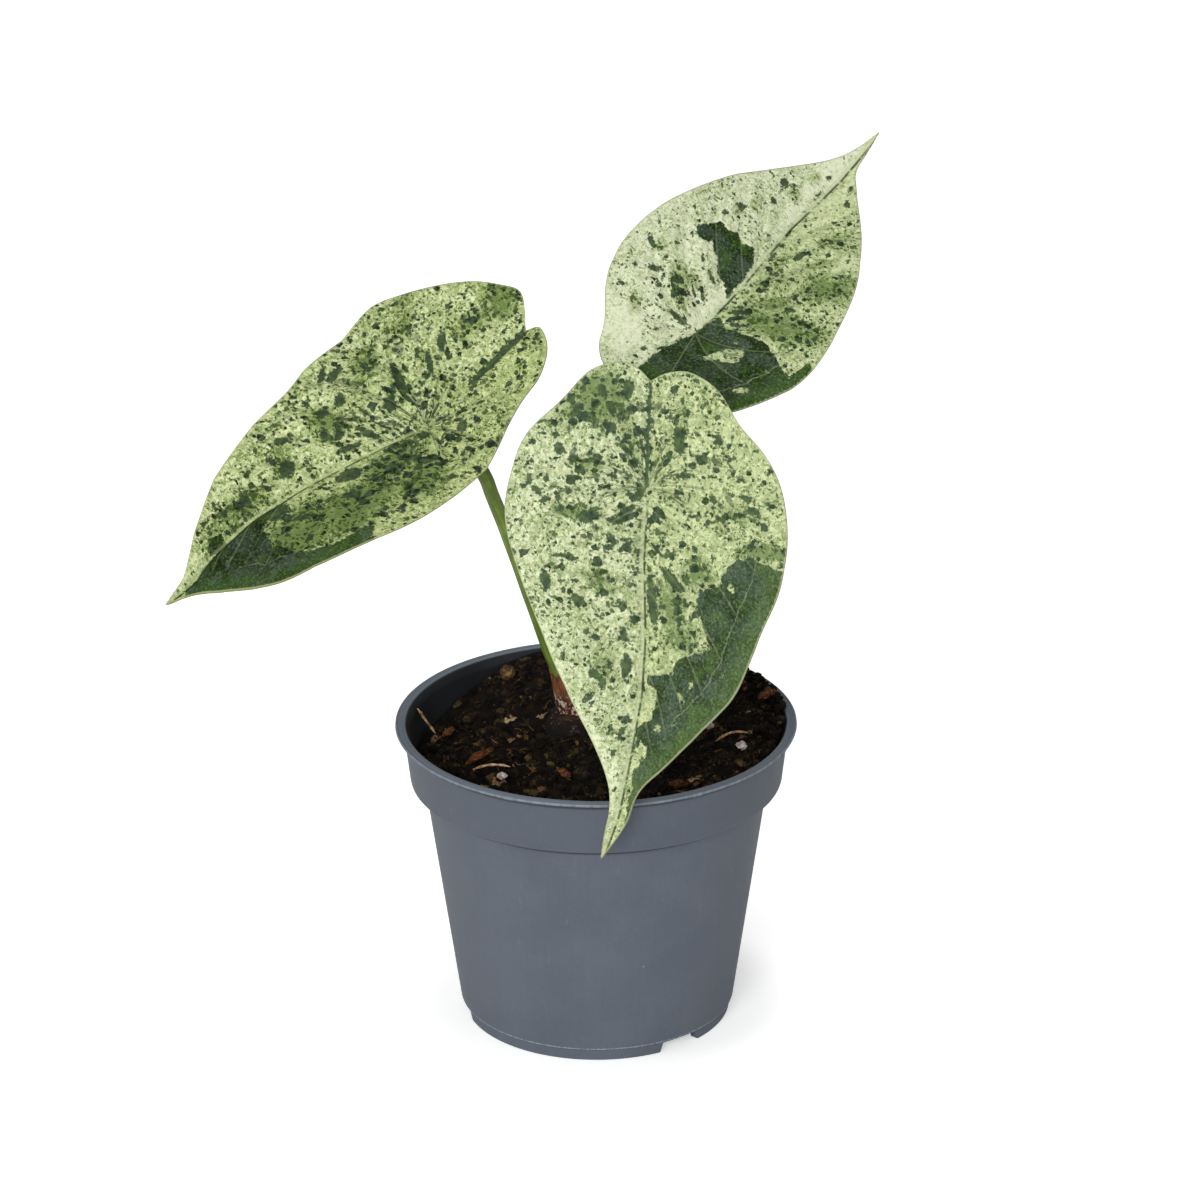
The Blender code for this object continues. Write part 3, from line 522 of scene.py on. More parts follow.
def bladePoints(leaf, x, y, lift):
    # blade points in space: bent along the midrib, folded across it and raised by lift
    along, across, up = (np.array(axis) for axis in leafAxes(leaf))
    stations = np.linspace(-30, 60, 361)
    slopes = np.radians(np.interp(stations, *zip(*leaf["bend"])))
    middle = (slopes[1:] + slopes[:-1]) / 2
    step = stations[1] - stations[0]
    run = np.concatenate([[0], np.cumsum(np.cos(middle) * step)])
    rise = np.concatenate([[0], np.cumsum(np.sin(middle) * step)])
    run -= np.interp(0, stations, run)
    rise -= np.interp(0, stations, rise)
    slope = np.interp(x, stations, slopes)
    fold = np.radians(np.interp(x, *zip(*leaf["fold"])))
    raised = np.tan(fold) * (np.hypot(y, blade["crease"]) - blade["crease"]) + lift
    raised = raised - leaf["curl"] * np.maximum(0, np.abs(y) - blade["curlFrom"]) ** 2
    forward = np.interp(x, stations, run) - raised * np.sin(slope)
    height = np.interp(x, stations, rise) + raised * np.cos(slope)
    side = y + np.interp(x, *zip(*leaf["sway"]))
    spots = forward[:, None] * along + side[:, None] * across + height[:, None] * up
    return (np.array(leaf["place"]) + spots) * mm


def setAttribute(mesh, name, values, kind="FLOAT_VECTOR"):
    made = mesh.attributes.new(name, kind, "POINT")
    made.data.foreach_set("vector" if kind == "FLOAT_VECTOR" else "value",
                          np.asarray(values, np.float32).ravel())


def flatGrid(name, columns, rows, size):
    work = bmesh.new()
    bmesh.ops.create_grid(work, x_segments=columns, y_segments=rows, size=size)
    mesh = bpy.data.meshes.new(name)
    work.to_mesh(mesh)
    work.free()
    return mesh


def buildLeaf(name, leaf, finishes):
    columns, rows = blade["columns"], blade["rows"]
    outline = bladeOutline(leaf, columns)
    mesh = flatGrid("leaf_" + name, columns, rows, 0.5)
    spots = np.zeros(len(mesh.vertices) * 3)
    mesh.vertices.foreach_get("co", spots)
    spots = spots.reshape(-1, 3) + 0.5
    share = spots[:, 1:2] ** blade["rowCrowding"]
    flat = outline[(spots[:, 0] * columns).round().astype(int)] * share
    x, y = flat[:, 0], flat[:, 1]
    margin = np.full(len(flat), 1e9)
    for chunk in np.array_split(np.arange(len(flat)), 40):
        apart = np.linalg.norm(flat[chunk, None, :] - outline[None, ::2, :], axis=2)
        margin[chunk] = apart.min(axis=1)
    margin[spots[:, 1] > 0.999] = 0

    relief, rib = veinRelief(x, y, margin)
    relief = relief * leaf["relief"]
    mesh.vertices.foreach_set("co", bladePoints(leaf, x, y, relief).ravel())
    u, w, spread = veinFlow(x, y)
    dark = np.max([inside(flat, edge) for edge in leaf["dark"]], axis=0)
    dark = np.minimum(dark, -insideSpots(flat, leaf["islands"]))
    blotch = insideSpots(flat, leaf["blotches"])
    # the seam is a painted shade line in the crease behind the petiole, stored with the blotches
    start, end, width = leaf["seam"]
    seam = width - np.abs(y) - 0.4 * np.maximum(0, np.maximum(start - x, x - end))
    green = insideSpots(flat, leaf["green"])
    pale = insideSpots(flat, leaf["pale"])
    setAttribute(mesh, "blade", np.stack([x, y, margin], axis=1))
    setAttribute(mesh, "flow", np.stack([u, w, spread], axis=1))
    setAttribute(mesh, "marks", np.stack([dark, np.maximum(blotch, seam), green], axis=1))
    setAttribute(mesh, "pale", pale, "FLOAT")
    setAttribute(mesh, "rib", rib, "FLOAT")

    work = bmesh.new()
    work.from_mesh(mesh)
    bmesh.ops.remove_doubles(work, verts=work.verts, dist=weld * mm)
    bmesh.ops.recalc_face_normals(work, faces=work.faces)
    if sum((face.normal * face.calc_area() for face in work.faces), Vector()).dot(leafAxes(leaf)[2]) < 0:
        bmesh.ops.reverse_faces(work, faces=work.faces)
    work.to_mesh(mesh)
    work.free()
    mesh.shade_smooth()
    piece = newPiece(name + "_leaf", mesh, finishes, "leaf_" + name, ["leaf_" + name])

    ribs = piece.vertex_groups.new(name="ribs")
    weights = np.zeros(len(mesh.vertices))
    mesh.attributes["rib"].data.foreach_get("value", weights)
    for index, weight in enumerate(weights):
        ribs.add([index], float(weight), "REPLACE")
    skin = piece.modifiers.new("Blade", "SOLIDIFY")
    skin.thickness = blade["thickness"] * mm
    skin.offset = -1
    skin.vertex_group = "ribs"
    skin.thickness_vertex_group = blade["thinnest"]
    skin.material_offset = 1


marbling = {
    "limeCream": tone(206, 218, 132), "yellowSage": tone(196, 206, 116), "greySage": tone(178, 192, 164),
    "slate": tone(104, 122, 106), "dusk": tone(120, 137, 130), "night": tone(14, 24, 8),
    "dryEdge": tone(128, 116, 84), "underside": tone(168, 186, 140),
    "petiole": (1.0, 12),           # within this distance the ground streams along the veins
    "patchEdge": (-0.7, 0.5), "paleEdge": (-0.7, 0.6), "sectorEdge": (-0.08, 0.1),
    "blotchEdge": (0.04, 0.18), "fleckEdge": (-0.008, 0.018),
    # cells per mm, share of the cells without a spot, smallest and largest radius in cells
    "roundFlecks": (0.62, 0.25, -0.1, 0.4), "drawnFlecks": (0.85, 0.2, -0.1, 0.4),
    "smallFlecks": (1.15, 0.2, -0.1, 0.4), "freckles": (1.7, 0.5, 0.05, 0.5), "dots": (2.1, 0.5, 0.05, 0.5),
    "stray": (0.24, 0.5, -0.1, 0.19), "pricks": (0.42, 0.7, -0.1, 0.11),
    "crease": 0.42,                 # the painted shade line of the midrib's crease runs this far beside the midrib
    "noises": {                     # scale, detail and roughness
        "coarse": (1.1, 3, 0.6), "fine": (4.2, 2, 0.6), "ragged": (1.5, 5, 0.7), "bay": (0.45, 3, 0.6),
        "net": (1.6, 2.4, 0.75), "streaks": (1.9, 2.4, 0.75), "tiny": (3.0, 1, 0.7),
        "cloud": (0.19, 4, 0.6), "hue": (1.1, 3, 0.65), "grain": (2.6, 2, 0.7), "fan": (1.0, 3, 0.7),
        "rays": (1.0, 4, 0.65), "scribble": (1.5, 2, 0.55), "broken": (1.7, 3, 0.65),
        "haze": (0.42, 4, 0.62), "crowd": (0.3, 3, 0.6), "depth": (0.9, 3, 0.6),
        "slow": (0.22, 3, 0.55), "shard": (0.3, 4, 0.66), "sand": (2.4, 2, 0.7), "faint": (0.6, 2),
        "dashes": (0.5, 2, 0.5), "swell": (0.8, 3, 0.5),
    },
}


def variegationGroup():
    # the cream, sage and dark green marbling of a blade, from what buildLeaf stores on its points
    colors = [(name, "Color", tone(128, 128, 128)) for name in ("Cream", "Sage", "Meadow", "Forest")]
    group, wires, entry, leave = newGroup(
        "variegation",
        colors + [("Shift", "Vector", (0, 0, 0)), ("Flecks", "Float", 1.0), ("Greener", "Float", 0.0),
                  ("Calm", "Float", 0.0), ("Warm Side", "Float", 0.0)],
        [("Color", "Color"), ("Dark", "Float"), ("Height", "Float")])
    creamTone, sage, meadow, forest = (entry[name] for name, kind, value in colors)

    def drawn(place, name, colored=False):
        return wires.noise(place, *marbling["noises"][name], colored=colored)

    bladeMap = wires.stored("blade")
    flowMap = wires.stored("flow")
    marks = wires.parts(wires.stored("marks"))
    paleField = wires.stored("pale", "Fac")
    x, y, margin = wires.parts(bladeMap)
    u, w, spread = wires.parts(flowMap)
    place = wires.moved(wires.stretch(bladeMap, (1, 1, 0)), entry["Shift"])
    stream = wires.moved(wires.stretch(flowMap, (1.0, 0.5, 0)), entry["Shift"])

    # places pushed about by coarse and fine noise, so that every edge drawn from them is ragged
    coarse = wires.vector("SUBTRACT", drawn(place, "coarse", colored=True), (0.5, 0.5, 0.5))
    fine = wires.vector("SUBTRACT", drawn(place, "fine", colored=True), (0.5, 0.5, 0.5))
    warp = wires.moved(wires.stretch(coarse, (2.2, 2.2, 0)), wires.stretch(fine, (0.6, 0.6, 0)))
    bent = wires.moved(place, warp)
    swept = wires.moved(stream, wires.stretch(warp, (0.5, 0.5, 0)))
    nudge = wires.moved(wires.stretch(coarse, (0.9, 0.9, 0)), wires.stretch(fine, (0.55, 0.55, 0)))
    near = wires.moved(place, nudge)
    drift = wires.moved(stream, wires.stretch(nudge, (0.6, 0.6, 0)))
    fromPetiole = wires.reach(x, y)
    nearPetiole = wires.between(fromPetiole, *marbling["petiole"], 0.8, 0.0)
    pale = wires.between(paleField, *marbling["paleEdge"])
    ragged = drawn(place, "ragged") - 0.5
    bay = drawn(place, "bay") - 0.5
    fieldEdge = marks[2] + ragged * 2.4
    field = wires.between(fieldEdge, *marbling["patchEdge"])
    strong = wires.between(fieldEdge, 0.5, 2.0)

    # the ground: a fine net of sage over cream, drawn out along the veins near the petiole
    net = drawn(bent, "net")
    streaks = drawn(swept, "streaks")
    ground = net * (1 - nearPetiole) + streaks * nearPetiole
    ground = ground + (drawn(bent, "tiny") - 0.5) * 0.35
    cloud = wires.between(drawn(place, "cloud"), 0.42, 0.68, -0.02, 0.05)
    greenness = cloud + field * 0.085 + strong * 0.085 + entry["Greener"] * 0.1 - pale * 0.06
    warm = wires.between(y * entry["Warm Side"], 0.0, 0.7)
    calm = (1 - warm) * entry["Calm"] * (1 - field)
    ground = ground - greenness - warm * 0.01 + calm * 0.07
    warmer = wires.mix(0.72, sage, creamTone)
    warmer = wires.mix(0.5, warmer, marbling["limeCream"])
    cream = wires.mix(warm * 0.6, creamTone, warmer)
    # the cream itself wavers between yellowish and greyish green
    hue = drawn(wires.moved(near, (5, 2, 0)), "hue")
    cream = wires.mix(wires.between(hue, 0.52, 0.66, 0.0, 0.45), cream,
                      wires.mix(0.5, sage, marbling["yellowSage"]))
    cream = wires.mix(wires.between(hue, 0.46, 0.34, 0.0, 0.4), cream,
                      wires.mix(0.5, sage, marbling["greySage"]))
    cream = wires.mix(field * 0.45, cream, sage)
    color = wires.mix(wires.between(ground, 0.62, 0.4), cream, sage)
    grain = drawn(bent, "grain")
    speckled = wires.between(grain, 0.42, 0.6) * (field * 0.4)
    speckled = wires.mix(speckled, wires.mix(0.2, meadow, sage), forest)
    color = wires.mix(wires.between(ground, 0.405, 0.35, 0.0, 0.9), color, speckled)
    # fine lines that fan out from the petiole, some dark and some whitish
    fan = drawn(wires.moved(wires.stretch(flowMap, (2.6, 0.16, 0)), entry["Shift"]), "fan")
    closeBy = wires.between(fromPetiole, 3.0, 11.0, 1.0, 0.0)
    lively = 1 - calm * 1.1
    color = wires.mix(closeBy * wires.between(fan, 0.42, 0.34, 0.0, 0.6), color, creamTone)
    color = wires.mix(closeBy * lively * wires.between(fan, 0.55, 0.62, 0.0, 0.8), color,
                      wires.mix(0.45, meadow, forest))
    rays = drawn(wires.moved(wires.stretch(flowMap, (0.8, 0.12, 0)), entry["Shift"]), "rays")
    rays = wires.between(rays, 0.55, 0.6, 0.0, 0.8) * wires.between(fromPetiole, 5.0, 12.0, 1.0, 0.0)
    rays = rays * lively
    color = wires.mix(rays * wires.between(streaks, 0.62, 0.5), color,
                      wires.mix(0.3, forest, marbling["slate"]))
    cloudy = strong * wires.between(grain, 0.3, 0.6, 0.25, 0.6)
    color = wires.mix(cloudy, color, wires.mix(0.4, meadow, sage))
    # thin broken scribbles of green
    scribble = wires.between(abs(drawn(bent, "scribble") - 0.5), 0.022, 0.008)
    broken = wires.between(drawn(place, "broken"), 0.5, 0.56)
    scribble = scribble * broken * (1 - pale * 0.8)
    color = wires.mix(scribble * 0.42, color, wires.mix(0.2, meadow, forest))

    # soft grey-green shadows of a deeper layer
    haze = wires.between(drawn(place, "haze"), 0.52, 0.66, 0.0, 0.34)
    haze = haze * entry["Flecks"] * (1 - pale)
    color = wires.mix(haze, color, wires.mix(0.35, sage, forest))

    # small dark flecks, some round and some drawn out along the veins
    crowd = wires.between(drawn(place, "crowd"), 0.3, 0.72, 0.5, 1.25)
    crowd = crowd + field * 0.35 - pale * 0.45 - calm * 0.28
    crowd = (crowd + lively * wires.between(fromPetiole, 6.0, 14.0, 0.25, 0.0)) * entry["Flecks"]

    def scattered(where, kind, share):
        # the radius of the spot in each cell, and the distance from its middle
        scale, first, smallest, largest = marbling[kind]
        distance, picks = wires.cells(where, scale)
        return wires.between(picks[share], first, 1.0, smallest, largest), distance

    def spots(where, kind):
        radius, distance = scattered(where, kind, 0)
        return wires.between(radius * crowd - distance, *marbling["fleckEdge"])

    farOut = wires.between(fromPetiole, 8.0, 18.0, 1.0, 0.12)
    flecks = wires.larger(spots(near, "roundFlecks"), spots(drift, "drawnFlecks") * farOut)
    flecks = wires.larger(flecks, spots(wires.moved(near, (9, 4, 0)), "smallFlecks"))
    freckles = wires.larger(spots(wires.moved(near, (7, 3, 0)), "freckles"),
                            spots(wires.moved(near, (2, 8, 0)), "dots"))

    # larger blotches and the dark sectors
    blotches = wires.between(marks[1] + ragged * 1.7, *marbling["blotchEdge"])
    radius, distance = scattered(wires.moved(bent, (3, 11, 0)), "stray", 1)
    strayEdge = radius - distance + ragged * 0.3
    blotches = wires.larger(blotches, wires.between(strayEdge, 0.0, 0.05) * (1 - pale))
    sectorEdge = marks[0] + (ragged * 1.3 + bay * 1.5)
    sector = wires.between(sectorEdge, *marbling["sectorEdge"])

    depth = drawn(place, "depth")
    moss = wires.mix(wires.between(depth, 0.42, 0.66, 0.0, 0.6), forest, meadow)
    moss = wires.mix(wires.between(grain, 0.4, 0.7, 0.0, 0.3), moss, meadow)
    flecked = wires.mix(wires.between(depth, 0.46, 0.66, 0.0, 0.5), forest, meadow)
    flecked = wires.mix(wires.between(hue, 0.42, 0.56, 0.3, 0.0), flecked, marbling["slate"])
    moss = wires.mix(0.14, moss, marbling["slate"])
    color = wires.mix(freckles * 0.85, color, wires.mix(0.62, meadow, forest))
    color = wires.mix(flecks * 0.97, color, flecked)
    color = wires.mix(blotches * 0.95, color, moss)

    # inside a sector: slow shifts of green, a fine grain and a few pale pin pricks
    slow = drawn(place, "slow")
    dusky = wires.mix(0.24, forest, marbling["dusk"])
    shard = drawn(bent, "shard")
    deep = wires.mix(wires.between(slow, 0.4, 0.6), wires.mix(0.4, dusky, forest), forest)
    deep = wires.mix(wires.between(shard, 0.54, 0.57), deep, dusky)
    deep = wires.mix(wires.between(shard, 0.45, 0.4, 0.0, 0.42), deep, meadow)
    deep = wires.mix(wires.between(margin, 4.0, 1.0, 0.0, 0.4), deep, meadow)
    sand = drawn(place, "sand")
    deep = wires.mix(wires.between(sand, 0.5, 0.34, 0.0, 0.55), deep,
                     wires.mix(0.6, forest, marbling["night"]))
    deep = wires.mix(wires.between(sand, 0.52, 0.7, 0.0, 0.5), deep, wires.mix(0.5, sage, meadow))
    # painted light: soft lit patches lighten the dark sector toward meadow green
    lit = wires.between(depth, 0.42, 0.65, 0.0, 0.15) + wires.between(grain, 0.46, 0.7, 0.0, 0.28)
    deep = wires.mix(lit, deep, meadow)
    radius, distance = scattered(bent, "pricks", 2)
    pricks = wires.between(radius - distance, -0.02, 0.04, 0.0, 0.55)
    deep = wires.mix(pricks, deep, sage)
    color = wires.mix(sector, color, deep)

    # pale ribs: the midrib, the side veins and the collecting vein inside the margin
    off = abs(y)
    faint = wires.between(drawn(place, "faint"), 0.35, 0.6, 0.35, 1.0)
    midrib = wires.between(off, 0.45, 0.1) * wires.between(x, -1.0, 3.0)
    step = (u - blade["veinFirst"]) / blade["veinPitch"]
    part = abs(step - wires.calc("FLOOR", step + 0.5))
    away = part * blade["veinPitch"] * spread
    sides = wires.between(away, 0.2, 0.05) * wires.between(margin, 2.0, 6.0)
    apart = abs(margin - (blade["collector"] + bay * 1.2))
    collector = wires.between(apart, 0.15, 0.04) * wires.between(off, 4.0, 7.0)
    collector = collector * (sector * faint)
    # painted shade: a dark broken line beside the midrib stands in for the shadow in its crease
    crease = wires.between(abs(y * entry["Warm Side"] - marbling["crease"]), 0.3, 0.12)
    dashes = drawn(wires.stretch(place, (1.0, 0.2, 0)), "dashes")
    dashes = wires.larger(wires.between(dashes, 0.4, 0.5, 0.15, 1.0), sector)
    crease = crease * (dashes * wires.between(x, 0.0, 6.0, 0.0, 0.85))
    color = wires.mix(crease, color, forest)
    sides = sides * wires.between(sector, 0, 1, 0.12, 0.15) * (1 - field * 0.6)
    midrib = midrib * wires.between(sector, 0, 1, 0.6, 0.3)
    lines = wires.larger(wires.larger(midrib, sides), collector * 0.28)
    ribTone = wires.mix(0.3, sage, creamTone)
    color = wires.mix(lines, color, ribTone)
    color = wires.mix(wires.between(margin, 0.42, 0.15, 0.0, 0.6), color, ribTone)
    color = wires.mix(wires.between(margin, 0.13, 0.03, 0.0, 0.55), color, marbling["dryEdge"])

    darkness = wires.larger(sector, wires.larger(blotches, flecks))
    height = ground * 0.7 + darkness * -0.25 + drawn(place, "swell") * 0.8
    wires.join(color, leave["Color"])
    wires.join(sector, leave["Dark"])
    wires.join(height, leave["Height"])
    return group


variegation = variegationGroup()


def leafFinish(name, leaf, isUnder=False):
    # the upper face is satin; the underside is the same marbling, paler and duller
    wires = Finish("leaf " + name + (" underside" if isUnder else ""), specular=0.12 if isUnder else 0.09)
    marbled = wires.add("Group", node_tree=variegation)
    for label, values in leaf["tones"].items():
        color = Vector(tone(*values))
        if isUnder:
            color = color.lerp(Vector(marbling["underside"]), 0.45)
        marbled.inputs[label].default_value = color
    marbled.inputs["Shift"].default_value = leaf["shift"]
    marbled.inputs["Flecks"].default_value = leaf["flecks"]
    marbled.inputs["Greener"].default_value = leaf["sage"]
    marbled.inputs["Calm"].default_value = leaf["calm"]
    marbled.inputs["Warm Side"].default_value = leaf["warmSide"]
    wires.plug(marbled.outputs["Color"], "Base Color")
    low, high = (0.62, 0.7) if isUnder else (0.54, 0.46)
    wires.plug(wires.between(marbled.outputs["Dark"], 0, 1, low, high), "Roughness")
    wires.bump(marbled.outputs["Height"], 0.12, 0.6)
    return wires.material


for name, leaf in leaves.items():
    buildLeaf(name, leaf, [leafFinish(name, leaf), leafFinish(name, leaf, True)])
print("leaves done")


pot = {
    "height": 46.7, "rim": 30.0, "rimInner": 28.4, "rimDepth": 0.5,
    "collar": 28.8, "collarLow": 27.8, "collarHeight": 37.6, "body": 25.75,
    "base": 20.6, "foot": 20.0, "footHeight": 2.0, "footWidth": 1.4, "pad": 7.0,
    "floorTop": 3.2, "wall": 1.0, "segments": 256,
    "notches": 3, "notchWidth": 7.0, "notchHeight": 1.5, "notchAngle": -51.5,
    "drain": 2.2, "drainCircle": 12.5,
    "wavyFrom": (27.0, 44.0), "wave": 0.06,         # radius and height where the lip begins to waver
    "nickedFrom": 29.4, "nick": 0.5,
}


def turned(profile, segments):
    # a body of revolution round the z axis from (radius, height) points in millimetres
    work = bmesh.new()
    verts = [work.verts.new((radius * mm, 0.0, height * mm)) for radius, height in profile]
    edges = [work.edges.new(pair) for pair in zip(verts, verts[1:])]
    bmesh.ops.spin(work, geom=verts + edges, cent=(0, 0, 0), axis=(0, 0, 1),
                   angle=math.tau, steps=segments, use_merge=True)
    bmesh.ops.remove_doubles(work, verts=work.verts, dist=weld * mm)
    return work


def rounded(corner, before, after, radius):
    # a few points that round one corner of a profile
    corner, before, after = (Vector(point) for point in (corner, before, after))
    into = (before - corner).normalized() * min(radius, (before - corner).length * 0.45)
    out = (after - corner).normalized() * min(radius, (after - corner).length * 0.45)
    start, end = corner + into, corner + out
    found = []
    for step in range(4):
        t = step / 3
        found.append(tuple(start * (1 - t) ** 2 + corner * 2 * t * (1 - t) + end * t * t))
    return found


def cutAway(mesh, cutters):
    # take cutter meshes out of a mesh and return the result
    body = newObject("body", mesh)
    helpers = []
    for cutter in cutters:
        helper = newObject("cutter", cutter)
        boolean = body.modifiers.new("Cut", "BOOLEAN")
        boolean.operation = "DIFFERENCE"
        boolean.solver = "EXACT"
        boolean.object = helper
        helpers.append(helper)
    bpy.context.view_layer.update()
    result = bpy.data.meshes.new_from_object(body.evaluated_get(bpy.context.evaluated_depsgraph_get()))
    for helper in [body, *helpers]:
        bpy.data.objects.remove(helper)
    return result


def plasticFinish():
    wires = Finish("pot plastic", specular=0.28)
    place = wires.objectPlace()
    patch, grain = wires.mottled(place, 0.09, 2.6)
    # faint upright streaks from the mould, a few pale scuffs and dust specks
    x, y, z = wires.parts(place)
    turn = wires.calc("ARCTAN2", y, x)
    around = wires.add("CombineXYZ", {0: turn * 26.0, 1: 0.0, 2: z * 0.05}).outputs[0]
    streak = wires.between(wires.noise(around, 1.6, 4, 0.6), 0.3, 0.7)
    shade = patch * 0.5 + streak * 0.15
    shade = shade + grain * 0.35
    color = wires.ramp(shade, [(0.2, tone(86, 93, 104)), (0.5, tone(90, 97, 108)),
                               (0.8, tone(95, 101, 111))])
    distance, picks = wires.cells(place, 0.28)
    speckSize = wires.between(picks[0], 0.55, 1.0, -0.1, 0.055)
    specks = wires.between(speckSize - distance, -0.01, 0.015, 0.0, 0.55)
    color = wires.mix(specks, color, tone(168, 172, 176))
    scratch = wires.noise(wires.stretch(place, (0.5, 0.5, 0.06)), 3.1, 2, 0.5, 0.4)
    color = wires.mix(wires.between(scratch, 0.68, 0.8, 0.0, 0.25), color, tone(132, 138, 146))
    # painted highlights: the lip's outer and inner edges and the rim's top face are lightened as if
    # catching the light
    lipNoise = wires.noise(around, 0.9, 4, 0.7)
    radius = wires.reach(x, y)
    lip = wires.between(radius, pot["rim"] - 0.4, pot["rim"] - 0.2) * wires.between(lipNoise, 0.38, 0.6,
                                                                                    0.25, 1.0)
    onTop = wires.between(z, pot["height"] - 0.3, pot["height"] - 0.2)
    innerLip = onTop * wires.between(abs(radius - (pot["rimInner"] + 0.3)), 0.2, 0.08)
    lip = wires.larger(lip, innerLip * 0.4)
    color = wires.mix(onTop * 0.5, color, tone(118, 126, 137))
    color = wires.mix(lip * 0.65, color, tone(136, 145, 154))
    # painted highlight: a thin pale broken line where the body's lower corner meets the foot
    seam = wires.between(abs(z - (pot["footHeight"] + 0.12)), 0.16,
                         0.05) * wires.between(wires.noise(around, 3.0, 3, 0.7), 0.42, 0.56, 0.15, 0.8)
    color = wires.mix(seam, color, tone(170, 176, 182))
    # painted shade: the inside wall is darkened nearly to black, mottled between grey and brown
    slope = (pot["collar"] - pot["collarLow"]) / (pot["height"] - pot["rimDepth"] - pot["collarHeight"])
    midWall = pot["collarLow"] - 0.5 * pot["wall"] + (z - pot["collarHeight"]) * slope
    midWall = wires.larger(midWall, wires.between(z, 44.8, 45.2, 0.0, pot["rimInner"] + 0.05))
    isInner = wires.between(midWall - radius, -0.12, 0.12) * wires.between(z, 36.4, 37.0)
    darkening = wires.mix(wires.between(patch, 0.2, 0.9, 0.25, 0.6), tone(19, 21, 23), tone(14, 13, 11))
    color = wires.mix(isInner * 0.92, color, darkening)
    # painted shade: the outer collar above the step is darkened a little
    collarShade = wires.between(z, 37.5, 38.5, 0.0, 0.3) * (1 - isInner)
    collarShade = collarShade * (1 - onTop)
    color = wires.mix(collarShade * (1 - lip), color, tone(70, 76, 86))
    # painted shade: a thin dark line in the corner under the rim
    low = pot["height"] - pot["rimDepth"]
    underRimShade = wires.between(z, low - 1.05, low - 0.7) * wires.between(z, low + 0.1, low + 0.04)
    underRimShade = underRimShade * (0.75 - isInner * 0.75)
    color = wires.mix(underRimShade, color, tone(48, 53, 61))
    wires.plug(color, "Base Color")
    wires.plug(wires.between(shade, 0, 1, 0.42, 0.56), "Roughness")
    relief = grain * 0.7 + streak * 0.2
    wires.bump(relief, 0.02, 0.5)
    return wires.material


def buildPot():
    inner = pot["collarHeight"] - 1.2 * pot["wall"]
    recess = 0.9 * pot["footHeight"]
    low, top = pot["height"] - pot["rimDepth"], pot["height"]
    corners = [
        # radius, height and rounding of each corner, from the middle of the underside up and back inside
        (pot["pad"], 0, 0.1), (pot["pad"] + 0.5, recess, 0.3),
        (pot["foot"] - pot["footWidth"], recess, 0.3), (pot["foot"] - pot["footWidth"], 0, 0.15),
        (pot["foot"], 0, 0.2),
        (pot["foot"] + 0.1, pot["footHeight"] - 0.25, 0.1), (pot["base"], pot["footHeight"], 0.25),
        (pot["body"], pot["collarHeight"], 0.2), (pot["collarLow"], pot["collarHeight"] + 0.2, 0.35),
        (pot["collar"], low, 0.15), (pot["rim"] - 0.1, low, 0.06), (pot["rim"], low + 0.2, 0.1),
        (pot["rim"] - 0.05, top - 0.12, 0.1), (pot["rim"] - 0.2, top - 0.04, 0.1),
        (pot["rim"] - 0.45, top - 0.16, 0.12), (pot["rim"] - 0.8, top, 0.15),
        (pot["rimInner"] + 0.15, top - 0.02, 0.15),
        (pot["rimInner"] - 0.1, top - 0.3, 0.25), (pot["collar"] - pot["wall"], low - 0.8, 0.3),
        (pot["collarLow"] - pot["wall"], inner + 1.0, 0.4), (pot["body"] - pot["wall"], inner, 0.4),
        (pot["base"] - pot["wall"], pot["floorTop"] + 0.6, 0.8),
        (pot["base"] - 1.8 * pot["wall"], pot["floorTop"], 0.5),
    ]
    path = [(0, 0)] + [(x, y) for x, y, radius in corners] + [(0, pot["floorTop"])]
    profile = [path[0]]
    for (x, y, radius), before, after in zip(corners, path, path[2:]):
        profile += rounded((x, y), before, after, radius)
    profile.append(path[-1])
    work = turned(profile, pot["segments"])

    # foot notches with sloping ends, and a lip that isn't quite true
    half = math.asin(pot["notchWidth"] / 2 / pot["foot"])
    for vert in work.verts:
        radius, height = math.hypot(vert.co.x, vert.co.y) / mm, vert.co.z / mm
        turn = math.atan2(vert.co.y, vert.co.x)
        if radius > pot["pad"] + 5 and height < 0.5:
            each = math.tau / pot["notches"]
            away = (turn - math.radians(pot["notchAngle"]) + each / 2) % each - each / 2
            rise = min(1, max(0, (half - abs(away)) / 0.02))
            vert.co.z += rise * pot["notchHeight"] * mm
        if radius > pot["wavyFrom"][0] and height > pot["wavyFrom"][1]:
            wave = noise.noise(Vector((math.cos(turn), math.sin(turn), 0)) * 2.2)
            nick = noise.noise(Vector((math.cos(turn), math.sin(turn), 0.3)) * 9)
            vert.co.z += pot["wave"] * wave * mm
            if radius > pot["nickedFrom"] and height < low + 0.3:
                vert.co.z -= max(0, nick - 0.1) * pot["nick"] * mm
    mesh = meshFrom(work, "pot")
    drains = bmesh.new()
    for index in range(pot["notches"]):
        turn = Matrix.Rotation(math.radians(pot["notchAngle"] + 360 * index / pot["notches"]), 4, "Z")
        bmesh.ops.create_cone(drains, segments=40, radius1=pot["drain"] * mm, radius2=pot["drain"] * mm,
                              depth=4 * pot["floorTop"] * mm, cap_ends=True,
                              matrix=turn @ Matrix.Translation((pot["drainCircle"] * mm, 0,
                                                                pot["floorTop"] * mm)))
    mesh = cutAway(mesh, [meshFrom(drains, "drains")])
    mesh.shade_smooth()
    mesh.set_sharp_from_angle(angle=math.radians(50))
    newPiece("nursery_pot", mesh, [plasticFinish()], "pot_plastic", ["pot"])


buildPot()
print("pot done")


